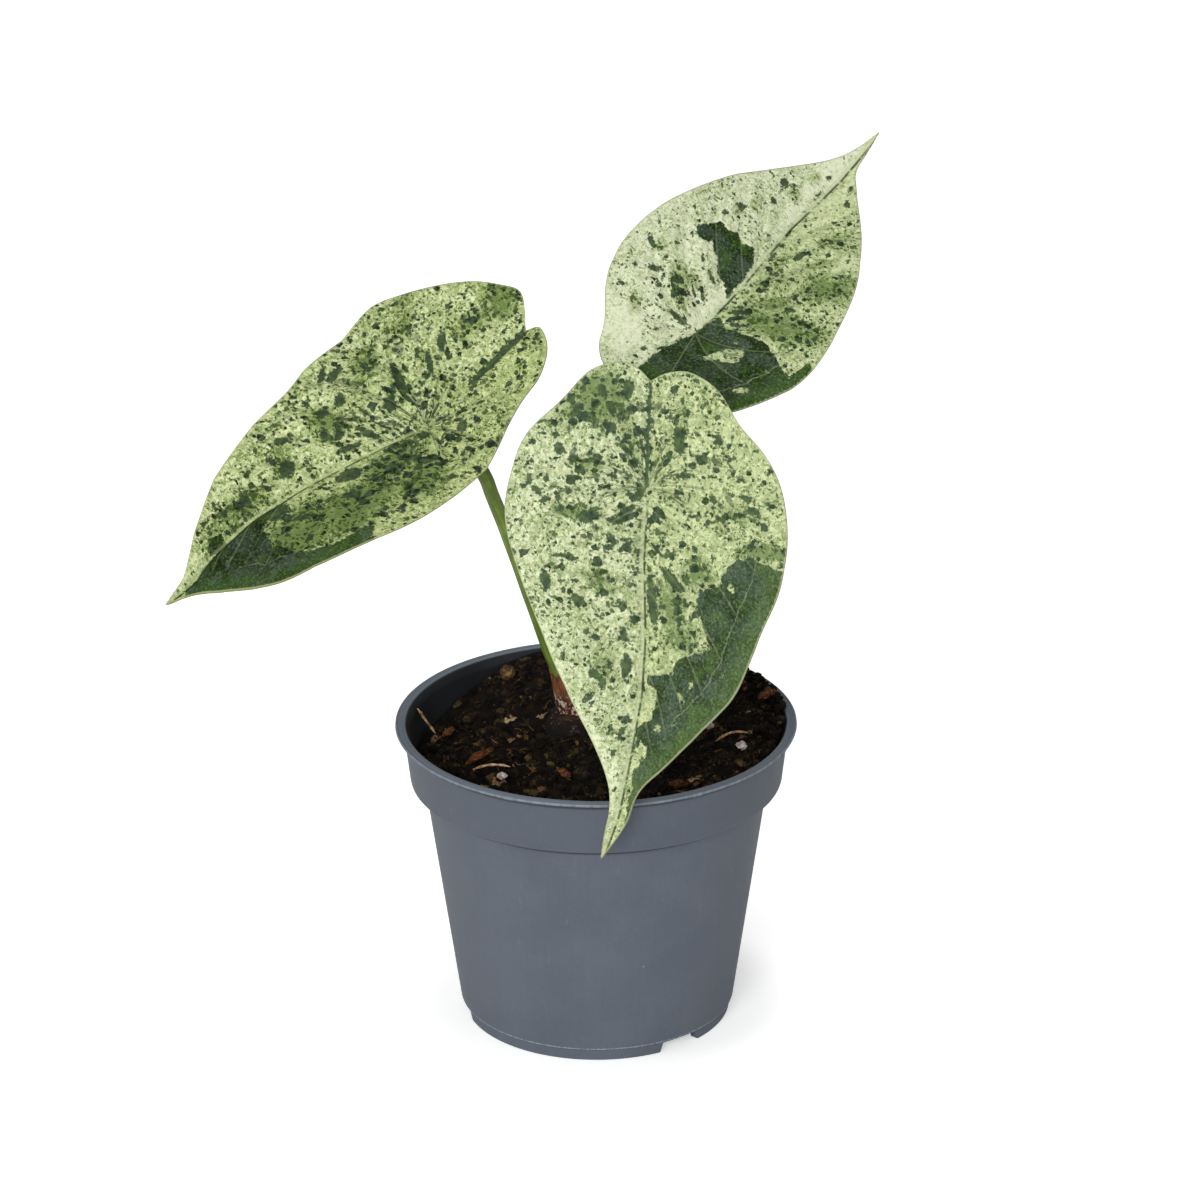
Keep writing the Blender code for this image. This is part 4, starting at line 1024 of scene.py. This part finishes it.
soil = {
    "height": 42.4, "riseX": 0.08, "riseY": 0.12, "heap": 0.5, "lump": 0.45, "lumpPitch": 7.0,
    "swells": [(-9, 7, -2.6, 7), (-9, 24, 1.6, 8), (-21, 13, -1.0, 6), (25, 7, 1.5, 7), (26, -6, 1.4, 8)],
    "columns": 300, "rows": 110,
    "crumbs": 2600, "crumbSizes": (0.3, 1.3),       # the smallest, and how much larger they get
    "heapCrumbs": 420, "heapSizes": (0.4, 1.2), "heapAngles": (-32, 66), "heapWidth": 3.6,
    "rimCrumbs": 110, "rimSizes": (0.35, 1.0), "rimAngles": (6, 52),
    "fibres": 190, "fibreLengths": (1.2, 4.2), "fibreWidths": (0.06, 0.15), "fibreSteps": 6,
    "side": 0.35,                   # clear of the pot's wall
    "stemClear": 5.0,               # no crumb or fibre lies nearer to the stem's middle
}
plantBase = (-3.0, 10.3)        # where the stem stands


def soilHeight(x, y):
    # the same surface as the CAD soil, in millimetres
    height = soil["height"] + soil["riseX"] * x + soil["riseY"] * y
    for swellX, swellY, swell, radius in soil["swells"]:
        height += swell * math.exp(-((x - swellX) ** 2 + (y - swellY) ** 2) / radius ** 2)
    height += soil["lump"] * noise.noise(Vector((x, y, 0.0)) / soil["lumpPitch"])
    return min(height, pot["height"] + soil["heap"])


def innerRadius(height):
    inner = pot["collarHeight"] - 1.2 * pot["wall"]
    heights = [pot["floorTop"], inner, pot["collarHeight"] - 0.2 * pot["wall"],
               pot["height"] - pot["rimDepth"], pot["height"]]
    radii = [pot["base"] - 1.8 * pot["wall"], pot["body"] - pot["wall"], pot["collarLow"] - pot["wall"],
             pot["collar"] - pot["wall"], pot["rimInner"]]
    return float(np.interp(height, heights, radii))


def roughGround(x, y):
    # crumbly relief on top of the smooth soil
    spot = Vector((x, y, 0))
    lumps = noise.fractal(spot / 2.6, 0.6, 2.1, 3)
    cells = noise.voronoi(spot / 1.5)[0]
    small = noise.voronoi(spot / 0.7 + Vector((5, 9, 2)))[0]
    return 0.5 * lumps + 0.55 * (0.45 - cells[0]) + 0.26 * (0.4 - small[0])


def soilFinish(name, isCrumb=False):
    wires = Finish(name, specular=0.12, roughness=0.85)
    place = wires.objectPlace()
    patch, grain = wires.mottled(place, 0.35, 2.4)
    if isCrumb:
        pick = wires.stored("tint", "Fac")
    else:
        wobble = wires.stretch(wires.noise(place, 1.2, 3, colored=True), (1.2, 1.2, 1.2))
        distance, picks = wires.cells(wires.moved(place, wobble), 0.8)
        pick = picks[0]
    color = wires.ramp(pick, [(0.0, tone(8, 6, 5)), (0.42, tone(16, 12, 9)), (0.7, tone(26, 19, 13)),
                              (0.84, tone(38, 29, 18)), (0.9, tone(58, 41, 24)), (0.945, tone(78, 74, 38)),
                              (0.975, tone(130, 88, 52)), (1.0, tone(186, 160, 124))])
    # pale flecks and threads in places
    thread = abs(wires.noise(place, 0.9, 3, 0.6) - 0.5)
    present = wires.noise(wires.moved(place, (4, 1, 7)), 0.5, 2)
    thread = wires.between(thread, 0.02, 0.006) * wires.between(present, 0.52, 0.6, 0.0, 0.7)
    color = wires.mix(thread, color, tone(104, 84, 48))
    color = wires.mix(wires.between(grain, 0.2, 0.9, 0.45, 0.0), color, tone(9, 7, 5))
    color = wires.mix(wires.between(patch, 0.55, 1.0, 0.0, 0.15), color, tone(58, 40, 24))
    wires.plug(color, "Base Color")
    wires.bump(grain + wires.noise(place, 6, 3, 0.7), 0.15, 0.8)
    return wires.material


def wrappedGrid(columns, rows, place):
    # a grid whose columns run round a loop: place(s, t) puts each point, in millimetres
    work = bmesh.new()
    bmesh.ops.create_grid(work, x_segments=columns, y_segments=rows, size=0.5)
    for vert in work.verts:
        vert.co = Vector(place(vert.co.x + 0.5, vert.co.y + 0.5)) * mm
    bmesh.ops.remove_doubles(work, verts=work.verts, dist=weld * mm)
    return work


def buildSoil():
    # heights of the rings down the side, under the rings of the top
    sides = [pot["collarHeight"] + 0.6, pot["collarHeight"] - 1.6, pot["floorTop"] + soil["side"]]
    rows = soil["rows"]
    total = rows + len(sides) + 1
    edge = innerRadius(soil["height"]) - soil["side"]

    def place(s, t):
        row = round(t * total)
        angle = math.tau * s
        if row <= rows:
            reach = innerRadius(soilHeight(edge * math.cos(angle), edge * math.sin(angle))) - 0.3
            radius = reach * (row / rows) ** 0.75
            x, y = radius * math.cos(angle), radius * math.sin(angle)
            calm = min(1, (reach - radius) / 0.8 + 0.25)
            return x, y, soilHeight(x, y) + roughGround(x, y) * calm
        if row == total:
            return 0, 0, sides[-1]
        height = sides[row - rows - 1]
        radius = innerRadius(height) - soil["side"]
        return radius * math.cos(angle), radius * math.sin(angle), height

    mesh = meshFrom(wrappedGrid(soil["columns"], total, place), "soil")
    newPiece("potting_soil", mesh, [soilFinish("potting soil")], "potting_soil", ["soil"])


def addCrumb(work, place, size, turn, rng, detail, roughness=0.3):
    # an uneven lump of the given length, width and height, added to a bmesh
    made = bmesh.ops.create_icosphere(work, subdivisions=detail, radius=0.5)["verts"]
    shift = Vector((rng.uniform(-50, 50), rng.uniform(-50, 50), rng.uniform(-50, 50)))
    tilt = Euler((rng.uniform(-0.4, 0.4), rng.uniform(-0.4, 0.4), math.radians(turn))).to_matrix()
    for vert in made:
        uneven = 1 + roughness * noise.noise(vert.co * 3 + shift) + rng.uniform(-0.12, 0.12)
        shaped = Vector((vert.co.x * size[0], vert.co.y * size[1], vert.co.z * size[2])) * uneven
        vert.co = (tilt @ shaped + Vector(place)) * mm
    return made


def addTube(work, points, radii, segments):
    # a round stem through points in millimetres, added to a bmesh, with pointed ends; each point of its
    # skin keeps where it lies: cosine and sine of the turn, and millimetres from the start
    points = np.array(points, float)
    ahead = np.gradient(points, axis=0)
    ahead /= np.linalg.norm(ahead, axis=1)[:, None]
    run = np.concatenate([[0], np.cumsum(np.linalg.norm(np.diff(points, axis=0), axis=1))])
    side = np.cross(ahead[0], (0, 0, 1.0) if abs(ahead[0][2]) < 0.9 else (0, 1.0, 0))
    sides = []
    for direction in ahead:
        side = side - direction * (side @ direction)
        side /= np.linalg.norm(side)
        sides.append(side)
    last = len(points) - 1
    layers = work.verts.layers.float_vector
    stem = layers.get("stem") or layers.new("stem")
    made = bmesh.ops.create_grid(work, x_segments=segments, y_segments=last + 2, size=0.5)["verts"]
    for vert in made:
        turn = math.tau * (vert.co.x + 0.5)
        row = round((vert.co.y + 0.5) * (last + 2)) - 1
        index = min(max(row, 0), last)
        radius = 0 if row in (-1, last + 1) else radii[index]
        across = math.cos(turn) * sides[index] + math.sin(turn) * np.cross(ahead[index], sides[index])
        vert.co = Vector(points[index] + across * radius) * mm
        vert[stem] = (math.cos(turn), math.sin(turn), run[index])
    bmesh.ops.remove_doubles(work, verts=made, dist=0.0005 * mm)


def paint(mesh, tints):
    # one tint for each separate lump: tints holds (vertex count, tint) in the order that they were made
    values = np.concatenate([np.full(count, tint) for count, tint in tints])
    setAttribute(mesh, "tint", values, "FLOAT")


def soilSpot(rng, reach):
    # a random place on the soil, clear of the stem
    while True:
        angle, radius = rng.uniform(0, math.tau), reach * math.sqrt(rng.random())
        x, y = radius * math.cos(angle), radius * math.sin(angle)
        if math.hypot(x - plantBase[0], y - plantBase[1]) > soil["stemClear"]:
            return x, y


def buildCrumbs():
    rng = random.Random(21)
    work = bmesh.new()
    tints = []
    smallest, spread = soil["crumbSizes"]
    for index in range(soil["crumbs"]):
        x, y = soilSpot(rng, innerRadius(soil["height"]) - 1.0)
        size = smallest + spread * rng.random() ** 4
        tall = size * rng.uniform(0.5, 0.8)
        height = soilHeight(x, y) + rng.uniform(-0.1, 0.25) * size
        made = addCrumb(work, (x, y, height), (size, size * rng.uniform(0.5, 0.9), tall),
                        rng.uniform(0, 360), rng, 2 if size > 1.2 else 1)
        tints.append((len(made), min(0.97, rng.random() ** 1.7)))
    # heaped against the rim on one side
    edge = innerRadius(soil["height"])
    smallest, spread = soil["heapSizes"]
    for index in range(soil["heapCrumbs"]):
        angle = math.radians(rng.uniform(*soil["heapAngles"]))
        size = smallest + spread * rng.random() ** 2
        radius = edge + 0.5 - soil["heapWidth"] * rng.random() ** 1.5
        x, y = radius * math.cos(angle), radius * math.sin(angle)
        height = min(soilHeight(x, y) + rng.uniform(0.0, 1.2), pot["height"] + 0.9)
        spare = innerRadius(height) - 0.5 * size - radius
        x, y = x * (1 + min(0, spare) / radius), y * (1 + min(0, spare) / radius)
        made = addCrumb(work, (x, y, height), (size, size * rng.uniform(0.5, 0.9), size * 0.6),
                        rng.uniform(0, 360), rng, 2 if size > 1.0 else 1, 0.5)
        tints.append((len(made), min(0.97, rng.random() ** 1.2)))
    smallest, spread = soil["rimSizes"]
    for index in range(soil["rimCrumbs"]):
        angle = math.radians(rng.uniform(*soil["rimAngles"]))
        size = smallest + spread * rng.random() ** 2
        radius = pot["rimInner"] + rng.uniform(-1.2, 0.5)
        made = addCrumb(work,
                        (radius * math.cos(angle), radius * math.sin(angle),
                         pot["height"] + 0.3 * size + 0.1), (size, size * 0.8, size * 0.7),
                        rng.uniform(0, 360), rng, 1, 0.5)
        tints.append((len(made), min(0.97, rng.random() ** 1.4)))
    mesh = meshFrom(work, "soil_crumbs", 35)
    paint(mesh, tints)
    newPiece("soil_crumbs", mesh, [soilFinish("soil crumbs", True)], "potting_soil")


def buildFibres():
    rng = random.Random(8)
    steps = soil["fibreSteps"]
    work = bmesh.new()
    tints = []
    for index in range(soil["fibres"]):
        x, y = soilSpot(rng, innerRadius(soil["height"]) - 2.5)
        turn, length = rng.uniform(0, math.tau), rng.uniform(*soil["fibreLengths"])
        curl = rng.uniform(-0.5, 0.5)
        points = []
        for step in range(steps + 1):
            turn += curl / 3
            x, y = x + math.cos(turn) * length / steps, y + math.sin(turn) * length / steps
            arch = 0.35 * math.sin(math.pi * step / steps) * rng.uniform(0.6, 1.2)
            points.append((x, y, soilHeight(x, y) + 0.35 + arch))
        if max(math.hypot(x, y) for x, y, z in points) > innerRadius(soil["height"]) - 0.8:
            continue
        thick = rng.uniform(*soil["fibreWidths"])
        before = len(work.verts)
        addTube(work, points, [thick * (1 - 0.5 * step / steps) for step in range(steps + 1)], 5)
        tints.append((len(work.verts) - before, rng.uniform(0.55, 0.99)))
    mesh = meshFrom(work, "soil_fibres")
    paint(mesh, tints)
    newPiece("soil_fibres", mesh, [soilFinish("soil fibres", True)], "potting_soil")


buildSoil()
buildCrumbs()
buildFibres()
print("soil done")


loose = {
    "barkLengths": (4.2, 3.0, 3.4, 3.8, 3.0, 2.8), "barkTurns": (25, 70, 60, -20, 10, -50),
    "barkShape": (0.95, 0.5), "barkRoughness": 0.55,
    "perlite": 4, "perliteRoughness": 0.5,
    "prillShare": 0.86, "prillLift": 0.3, "prillRoughness": 0.14,
}


def nodeMiddle(node):
    low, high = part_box(node)
    return (low + high) / 2 / mm, (high - low) / mm


def barkFinish():
    wires = Finish("bark", specular=0.2, roughness=0.88)
    place = wires.objectPlace()
    patch, grain = wires.mottled(place, 0.6, 3.2)
    layers = wires.noise(wires.stretch(place, (0.7, 2.4, 2.4)), 1.3, 4, 0.65, 0.6)
    color = wires.ramp(layers, [(0.3, tone(40, 25, 15)), (0.45, tone(88, 50, 26)),
                                (0.58, tone(134, 80, 42)), (0.72, tone(176, 120, 72))])
    color = wires.mix(wires.between(patch, 0.3, 0.9, 0.5, 0.0), color, tone(30, 20, 12))
    wires.plug(color, "Base Color")
    wires.bump(layers + grain, 0.2, 0.8)
    return wires.material


def perliteFinish():
    wires = Finish("perlite", specular=0.3, roughness=0.85)
    place = wires.objectPlace()
    patch, grain = wires.mottled(place, 1.2, 4.0)
    color = wires.ramp(patch, [(0.1, tone(150, 132, 120)), (0.5, tone(196, 184, 176)),
                               (0.9, tone(224, 217, 212))])
    color = wires.mix(wires.between(grain, 0.35, 0.0, 0.0, 0.6), color, tone(96, 74, 60))
    wires.plug(color, "Base Color")
    wires.bump(wires.cells(place, 3.0)[0], 0.2, 0.8)
    return wires.material


def prillFinish():
    wires = Finish("fertiliser prill", specular=0.4, roughness=0.55)
    place = wires.objectPlace()
    patch, grain = wires.mottled(place, 0.9, 3.0)
    color = wires.ramp(patch, [(0.1, tone(52, 36, 14)), (0.5, tone(104, 78, 32)),
                               (0.9, tone(150, 126, 68))])
    color = wires.mix(wires.between(grain, 0.3, 0.7, 0.4, 0.0), color, tone(104, 52, 18))
    pores = wires.noise(place, 3.4, 3, 0.7)
    color = wires.mix(wires.between(pores, 0.5, 0.4, 0.0, 0.8), color, tone(26, 17, 8))
    wires.plug(color, "Base Color")
    wires.bump(grain + pores, 0.16, 0.8)
    return wires.material


def rootFinish():
    wires = Finish("rootlet", specular=0.3, roughness=0.7)
    place = wires.objectPlace()
    patch, grain = wires.mottled(place, 0.8, 3.0)
    color = wires.ramp(patch, [(0.1, tone(120, 84, 54)), (0.5, tone(168, 128, 88)),
                               (0.9, tone(204, 176, 134))])
    wires.plug(color, "Base Color")
    wires.bump(grain, 0.05, 0.6)
    return wires.material


def buildLoosePieces():
    rng = random.Random(4)
    bark, perlite = barkFinish(), perliteFinish()
    long, wide = loose["barkShape"]
    for number, (length, turn) in enumerate(zip(loose["barkLengths"], loose["barkTurns"]), 1):
        middle, size = nodeMiddle(f"bark_chip_{number}")
        work = bmesh.new()
        size = (length * long, length * wide, size.z * 1.1)
        addCrumb(work, middle, size, turn, rng, 4, loose["barkRoughness"])
        newPiece(f"bark_{number}", meshFrom(work, "bark"), [bark], "bark", [f"bark_chip_{number}"])
    for number in range(1, loose["perlite"] + 1):
        middle, size = nodeMiddle(f"perlite_{number}")
        work = bmesh.new()
        addCrumb(work, middle, size, 0, rng, 4, loose["perliteRoughness"])
        newPiece(f"perlite_grain_{number}", meshFrom(work, "perlite"), [perlite], "perlite",
                 [f"perlite_{number}"])
    middle, size = nodeMiddle("fertiliser_prill")
    work = bmesh.new()
    middle.z += loose["prillLift"]
    addCrumb(work, middle, size * loose["prillShare"], 0, random.Random(2), 4, loose["prillRoughness"])
    newPiece("prill", meshFrom(work, "prill"), [prillFinish()], "fertiliser_prill", ["fertiliser_prill"])


buildLoosePieces()
print("loose pieces done")


rootlets = {
    "thickness": 0.46, "clearance": 0.3, "pitch": 0.25, "knots": (0.22, 0.55, 0.8),
    "routes": [
        [(-24.2, 6.9, 0), (-25.3, 6.4, 2), (-26.8, 5.8, 4.8)],
        [(-18.4, -4.6, 0), (-15.6, -4.2, 0.4), (-12.8, -5.0, 0.1)],
        [(17.8, -3.4, 0.1), (20.2, -2.4, 0.5), (22.6, -2.9, 0)],
    ],
}


def buildRootlets():
    finish = rootFinish()
    rng = random.Random(12)
    for number, route in enumerate(rootlets["routes"], 1):
        points = smoothPath(route, rootlets["pitch"])
        radii = []
        for index, point in enumerate(points):
            share = index / (len(points) - 1)
            point[1] += 0.1 * math.sin(9 * share)
            point[2] += soilHeight(point[0], point[1]) + rootlets["thickness"] / 2 + rootlets["clearance"]
            uneven = 0.8 + 0.45 * noise.noise(Vector((index * 0.3, number * 7, 0)))
            radii.append(rootlets["thickness"] / 2 * uneven * min(1, 0.35 + 5 * share,
                                                                  0.35 + 4 * (1 - share)))
        work = bmesh.new()
        addTube(work, points, radii, 12)
        for knot in rootlets["knots"]:
            index = round(knot * (len(points) - 1))
            size = rootlets["thickness"] * rng.uniform(0.8, 1.3)
            addCrumb(work, points[index], (size, size * 0.7, size * 0.7), rng.uniform(0, 360), rng, 2, 0.5)
        newPiece(f"root_{number}", meshFrom(work, "root"), [finish], "rootlet", [f"rootlet_{number}"])


buildRootlets()
print("rootlets done")


stem = {
    "profile": [(2.75, 34.6), (4.4, 36.4), (5.0, 38.8), (4.65, 41.6), (3.6, 43.6), (3.2, 44.0)],
    "rings": 1.9, "ringDepth": 0.22, "roughness": 0.18, "pitch": 0.22, "segments": 96,
}
sheath = {
    "radius": 3.05, "arc": (95.0, 300.0), "bottom": 44.2, "top": 51.2, "thickness": 0.16,
    "columns": 150, "rows": 46,
    "tears": [(0.17, 0.035, 3.2), (0.86, 0.03, 2.0)],   # share of the way round, half width, depth
    "shift": 0.2, "lean": -0.7, "flare": 0.3, "closing": 0.5,
}


def stemFinish():
    wires = Finish("stem base", specular=0.25, roughness=0.82)
    place = wires.objectPlace()
    patch, grain = wires.mottled(place, 0.5, 2.8)
    bands = wires.noise(wires.stretch(place, (0.5, 0.5, 2.6)), 1.0, 4, 0.6)
    color = wires.ramp(bands, [(0.32, tone(20, 14, 10)), (0.48, tone(40, 26, 17)), (0.6, tone(66, 44, 29)),
                               (0.74, tone(112, 84, 60))])
    scar = wires.noise(wires.moved(place, (3, 8, 1)), 0.9, 4, 0.65)
    color = wires.mix(wires.between(scar, 0.58, 0.64, 0.0, 0.85), color, tone(196, 172, 150))
    color = wires.mix(wires.between(patch, 0.2, 0.9, 0.7, 0.0), color, tone(24, 18, 13))
    # darker towards the bottom, near the soil surface
    darkening = wires.parts(place)[2] + grain * 2.0
    color = wires.mix(wires.between(darkening, 44.4, 43.4, 0.0, 0.92), color, tone(15, 11, 8))
    wires.plug(color, "Base Color")
    wires.bump(bands + grain, 0.2, 0.8)
    return wires.material


def buildStemBase():
    work = turned([tuple(point) for point in smoothPath(stem["profile"], stem["pitch"])], stem["segments"])
    bottom = min(vert.co.z for vert in work.verts)
    top = max(vert.co.z for vert in work.verts)
    for vert in work.verts:
        radius = math.hypot(vert.co.x, vert.co.y)
        ring = math.cos(math.tau * vert.co.z / mm / stem["rings"] + 0.8 * noise.noise(vert.co / mm / 3))
        rough = noise.fractal(vert.co / mm / 1.3, 0.6, 2.1, 3)
        shrink = stem["ringDepth"] * (0.5 - 0.5 * ring) + stem["roughness"] * abs(rough)
        scale = 1 - shrink * mm / max(radius, mm)
        vert.co = Vector((vert.co.x * scale, vert.co.y * scale, vert.co.z))
    loops = [edge for edge in work.edges if edge.is_boundary]
    for height in (bottom, top):
        ends = [edge for edge in loops if abs(edge.verts[0].co.z - height) < 0.01 * mm]
        bmesh.ops.holes_fill(work, edges=ends, sides=0)
    bmesh.ops.translate(work, verts=work.verts, vec=(plantBase[0] * mm, plantBase[1] * mm, 0))
    newPiece("stem_foot", meshFrom(work, "stem_foot", 60), [stemFinish()], "stem_base", ["stem_base"])


def sheathFinish():
    wires = Finish("dry sheath", specular=0.35, roughness=0.66)
    place = wires.objectPlace()
    patch, grain = wires.mottled(place, 0.45, 3.4)
    ribs = wires.noise(wires.stretch(place, (2.6, 2.6, 0.28)), 1.5, 4, 0.65)
    color = wires.ramp(ribs, [(0.3, tone(74, 40, 20)), (0.47, tone(116, 68, 38)), (0.58, tone(152, 98, 62)),
                              (0.72, tone(192, 146, 108))])
    color = wires.mix(wires.between(patch, 0.25, 0.85, 0.6, 0.0), color, tone(70, 40, 24))
    scaly = wires.noise(place, 1.1, 4, 0.7)
    low = wires.between(wires.parts(place)[2], 47.6, 46.2)
    color = wires.mix(low * wires.between(scaly, 0.52, 0.57, 0.0, 0.85), color, tone(214, 198, 180))
    color = wires.mix(low * wires.between(scaly, 0.52, 0.46, 0.0, 0.85), color, tone(36, 20, 12))
    wires.plug(color, "Base Color")
    wires.bump(ribs + grain, 0.12, 0.8)
    return wires.material


def buildSheath():
    work = bmesh.new()
    bmesh.ops.create_grid(work, x_segments=sheath["columns"], y_segments=sheath["rows"], size=0.5)
    start, end = (math.radians(value) for value in sheath["arc"])
    for vert in work.verts:
        s, t = vert.co.x + 0.5, vert.co.y + 0.5
        angle = start + (end - start) * s
        tear = 0.9 * noise.fractal(Vector((s * 9, 3.1, 0)), 0.6, 2.2, 4) - 0.4 * abs(math.sin(17 * s + 1))
        tear -= sum(depth * max(0, 1 - abs(s - spot) / width) for spot, width, depth in sheath["tears"])
        top = sheath["top"] + min(0.2, tear - 0.35)
        height = sheath["bottom"] + t * (top - sheath["bottom"])
        folds = 0.10 * math.sin(46 * s + 2 * t) + 0.16 * noise.noise(Vector((s * 13, t * 1.5, 7)))
        radius = sheath["radius"] + sheath["flare"] * t + folds * (0.3 + 0.7 * t)
        radius -= sheath["closing"] * max(0, abs(s - 0.5) - 0.42) / 0.08 * t
        vert.co = Vector((plantBase[0] + sheath["shift"] + sheath["lean"] * t + radius * math.cos(angle),
                          plantBase[1] + radius * math.sin(angle), height)) * mm
    mesh = meshFrom(work, "sheath")
    piece = newPiece("papery_sheath", mesh, [sheathFinish()], "dry_sheath", ["dry_sheath"])
    skin = piece.modifiers.new("Paper", "SOLIDIFY")
    skin.thickness = sheath["thickness"] * mm
    skin.offset = 0


buildStemBase()
buildSheath()
print("stem done")


stalk = {
    "approach": 3.2, "meet": 0.66,  # the last stretch runs square to the blade and ends this far below it
    "pitch": 0.5, "segments": 32,
    "flare": 0.35, "flareReach": 2.2, "ribs": 9, "ribDepth": 0.012, "swelling": 0.05,
    "front": {"widths": (2.4, 1.9),
              "route": [(-1.9, 8.8, 44.3), (-1.8, 8.8, 48), (-1.2, 9.2, 58), (0.8, 8.6, 70), (3.8, 5, 80),
                        (6.4, -2, 86)]},
    "left": {"widths": (2.3, 2.2),
             "route": [(-4.5, 10, 44.3), (-4.9, 9.8, 48), (-6, 9.2, 51.6), (-7.2, 8.6, 55.2),
                       (-10.3, 7.4, 65.5), (-13.2, 6, 75), (-15.2, 4.9, 81), (-16.1, 4.4, 83.9),
                       (-17.5, 3.9, 86.4), (-20.1, 3.3, 88.1), (-23.2, 2.5, 89.3)]},
    "right": {"widths": (2.4, 1.8),
              "route": [(-2.4, 12.1, 44.3), (-2.2, 12.3, 48), (-1.2, 13.6, 60), (2.8, 15.2, 76),
                        (8.6, 14.6, 91), (12.2, 13, 99)]},
}


def stalkFinish():
    wires = Finish("leaf stalk", specular=0.45)
    where = wires.stored("stem")
    place = wires.objectPlace()
    patch, grain = wires.mottled(place, 0.4, 3.2)
    streak = wires.noise(wires.stretch(where, (2.2, 2.2, 0.12)), 1.6, 4, 0.65)
    color = wires.ramp(streak, [(0.28, tone(86, 106, 36)), (0.48, tone(106, 127, 48)),
                                (0.62, tone(126, 146, 66)), (0.76, tone(160, 174, 106))])
    color = wires.mix(wires.between(patch, 0.3, 0.9, 0.35, 0.0), color, tone(78, 92, 42))
    run = wires.parts(where)[2]
    color = wires.mix(wires.between(run, 9, 0, 0.0, 0.5), color, tone(150, 148, 92))
    distance = wires.cells(wires.moved(where, (4, 4, 0)), 2.1)[0]
    mark = wires.between(0.12 - distance, -0.02, 0.05, 0.0, 0.5)
    color = wires.mix(mark, color, tone(66, 78, 40))
    wires.plug(color, "Base Color")
    wires.plug(wires.between(grain, 0, 1, 0.36, 0.5), "Roughness")
    wires.bump(streak + grain * 0.4, 0.08, 0.5)
    return wires.material


def buildStalk(name, leaf, finish):
    shape = stalk[name]
    upper = leafAxes(leaf)[2]
    foot = Vector(leaf["place"])
    route = [*shape["route"], tuple(foot - upper * stalk["approach"]), tuple(foot - upper * stalk["meet"])]
    points = smoothPath(route, stalk["pitch"])
    base, top = (width / 2 for width in shape["widths"])
    total = len(points) - 1
    radii = []
    for index in range(total + 1):
        radius = top + (base - top) * (1 - index / total) ** 2
        left = (total - index) * stalk["pitch"]
        radius += stalk["flare"] * math.exp(-(left / stalk["flareReach"]) ** 2)
        radii.append(radius)
    work = bmesh.new()
    addTube(work, points, radii, stalk["segments"])
    shift = Vector((0, 0, 11 * len(name)))
    for vert in work.verts:         # faint lengthwise ribs and slow swellings
        where = vert[work.verts.layers.float_vector["stem"]]
        turn = math.atan2(where[1], where[0])
        middle = Vector(points[min(total, round(where[2] / stalk["pitch"]))]) * mm
        slow = noise.noise(Vector((where[0], where[1], where[2] / 6)) + shift)
        swell = stalk["ribDepth"] * math.cos(stalk["ribs"] * turn) + stalk["swelling"] * slow
        vert.co = middle + (vert.co - middle) * (1 + swell - 0.02)
    newPiece(name + "_stalk", meshFrom(work, "stalk_" + name), [finish], "petiole", ["petiole_" + name])


green = stalkFinish()
for name, leaf in leaves.items():
    buildStalk(name, leaf, green)
print("stalks done")


studio = {
    "floor": 4.0,                   # metres across
    "lookAt": (0, 0, 0.06),         # the middle of the plant
    "world": 0.29, "glow": (0.45, 0.62), "glowReach": (23, 33),
    "lamps": {                      # place, size, watts
        "key": ((-0.35, -1.45, 0.72), 0.8, 16.0),
        "side": ((-1.35, -0.45, 0.8), 0.9, 5.5),
        "top": ((-0.1, 0.1, 1.6), 1.0, 3.6),
        "fill": ((1.3, -0.9, 0.4), 0.9, 4.0),
    },
    "cameraPlace": (0.00067, -0.91845, 0.46175), "cameraTilt": 66.7, "cameraRoll": -0.24, "lens": 202.5,
}


def buildFloor():
    mesh = flatGrid("floor", 8, 8, studio["floor"] / 2)
    floor = newObject("floor", mesh)
    wires = Finish("floor", specular=0.2, roughness=0.55)
    place = wires.objectPlace()
    patch, grain = wires.mottled(place, 0.01, 0.6)
    color = wires.mix((patch + grain) * 0.5, tone(243, 244, 242), tone(246, 247, 246))
    wires.plug(color, "Base Color")
    wires.shader.inputs["Emission Color"].default_value = (1, 1, 1, 1)
    # painted light: the floor glows for camera rays only, and less close to the pot's foot, which paints a
    # soft shade round it
    x, y, z = wires.parts(place)
    reach = wires.reach(x, y)
    seen = wires.add("LightPath").outputs["Is Camera Ray"]
    glow = wires.between(reach, *studio["glowReach"], *studio["glow"])
    wires.plug(seen * glow, "Emission Strength")
    mesh.materials.append(wires.material)


def buildLight():
    target = Vector(studio["lookAt"])
    for name, (place, size, watts) in studio["lamps"].items():
        lamp = bpy.data.lights.new(name, "AREA")
        lamp.shape = "DISK"
        lamp.size = size
        lamp.energy = watts
        holder = newObject(name, lamp)
        holder.location = place
        holder.rotation_euler = (target - Vector(place)).to_track_quat("-Z", "Y").to_euler()
    world = bpy.data.worlds.new("studio")
    world.use_nodes = True
    world.node_tree.nodes["Background"].inputs["Color"].default_value = (1, 1, 1, 1)
    world.node_tree.nodes["Background"].inputs["Strength"].default_value = studio["world"]
    bpy.context.scene.world = world


def buildCamera():
    lens = bpy.data.cameras.new("camera")
    lens.sensor_width = 36
    lens.lens = studio["lens"]
    lens.clip_end = 20
    camera = newObject("camera", lens)
    tilt = Matrix.Rotation(math.radians(studio["cameraTilt"]), 4, "X")
    roll = Matrix.Rotation(math.radians(studio["cameraRoll"]), 4, "Z")
    camera.matrix_world = Matrix.Translation(studio["cameraPlace"]) @ (tilt @ roll)
    bpy.context.scene.camera = camera


buildFloor()
buildLight()
buildCamera()
bpy.context.scene.view_settings.view_transform = "Standard"

print("scene done")
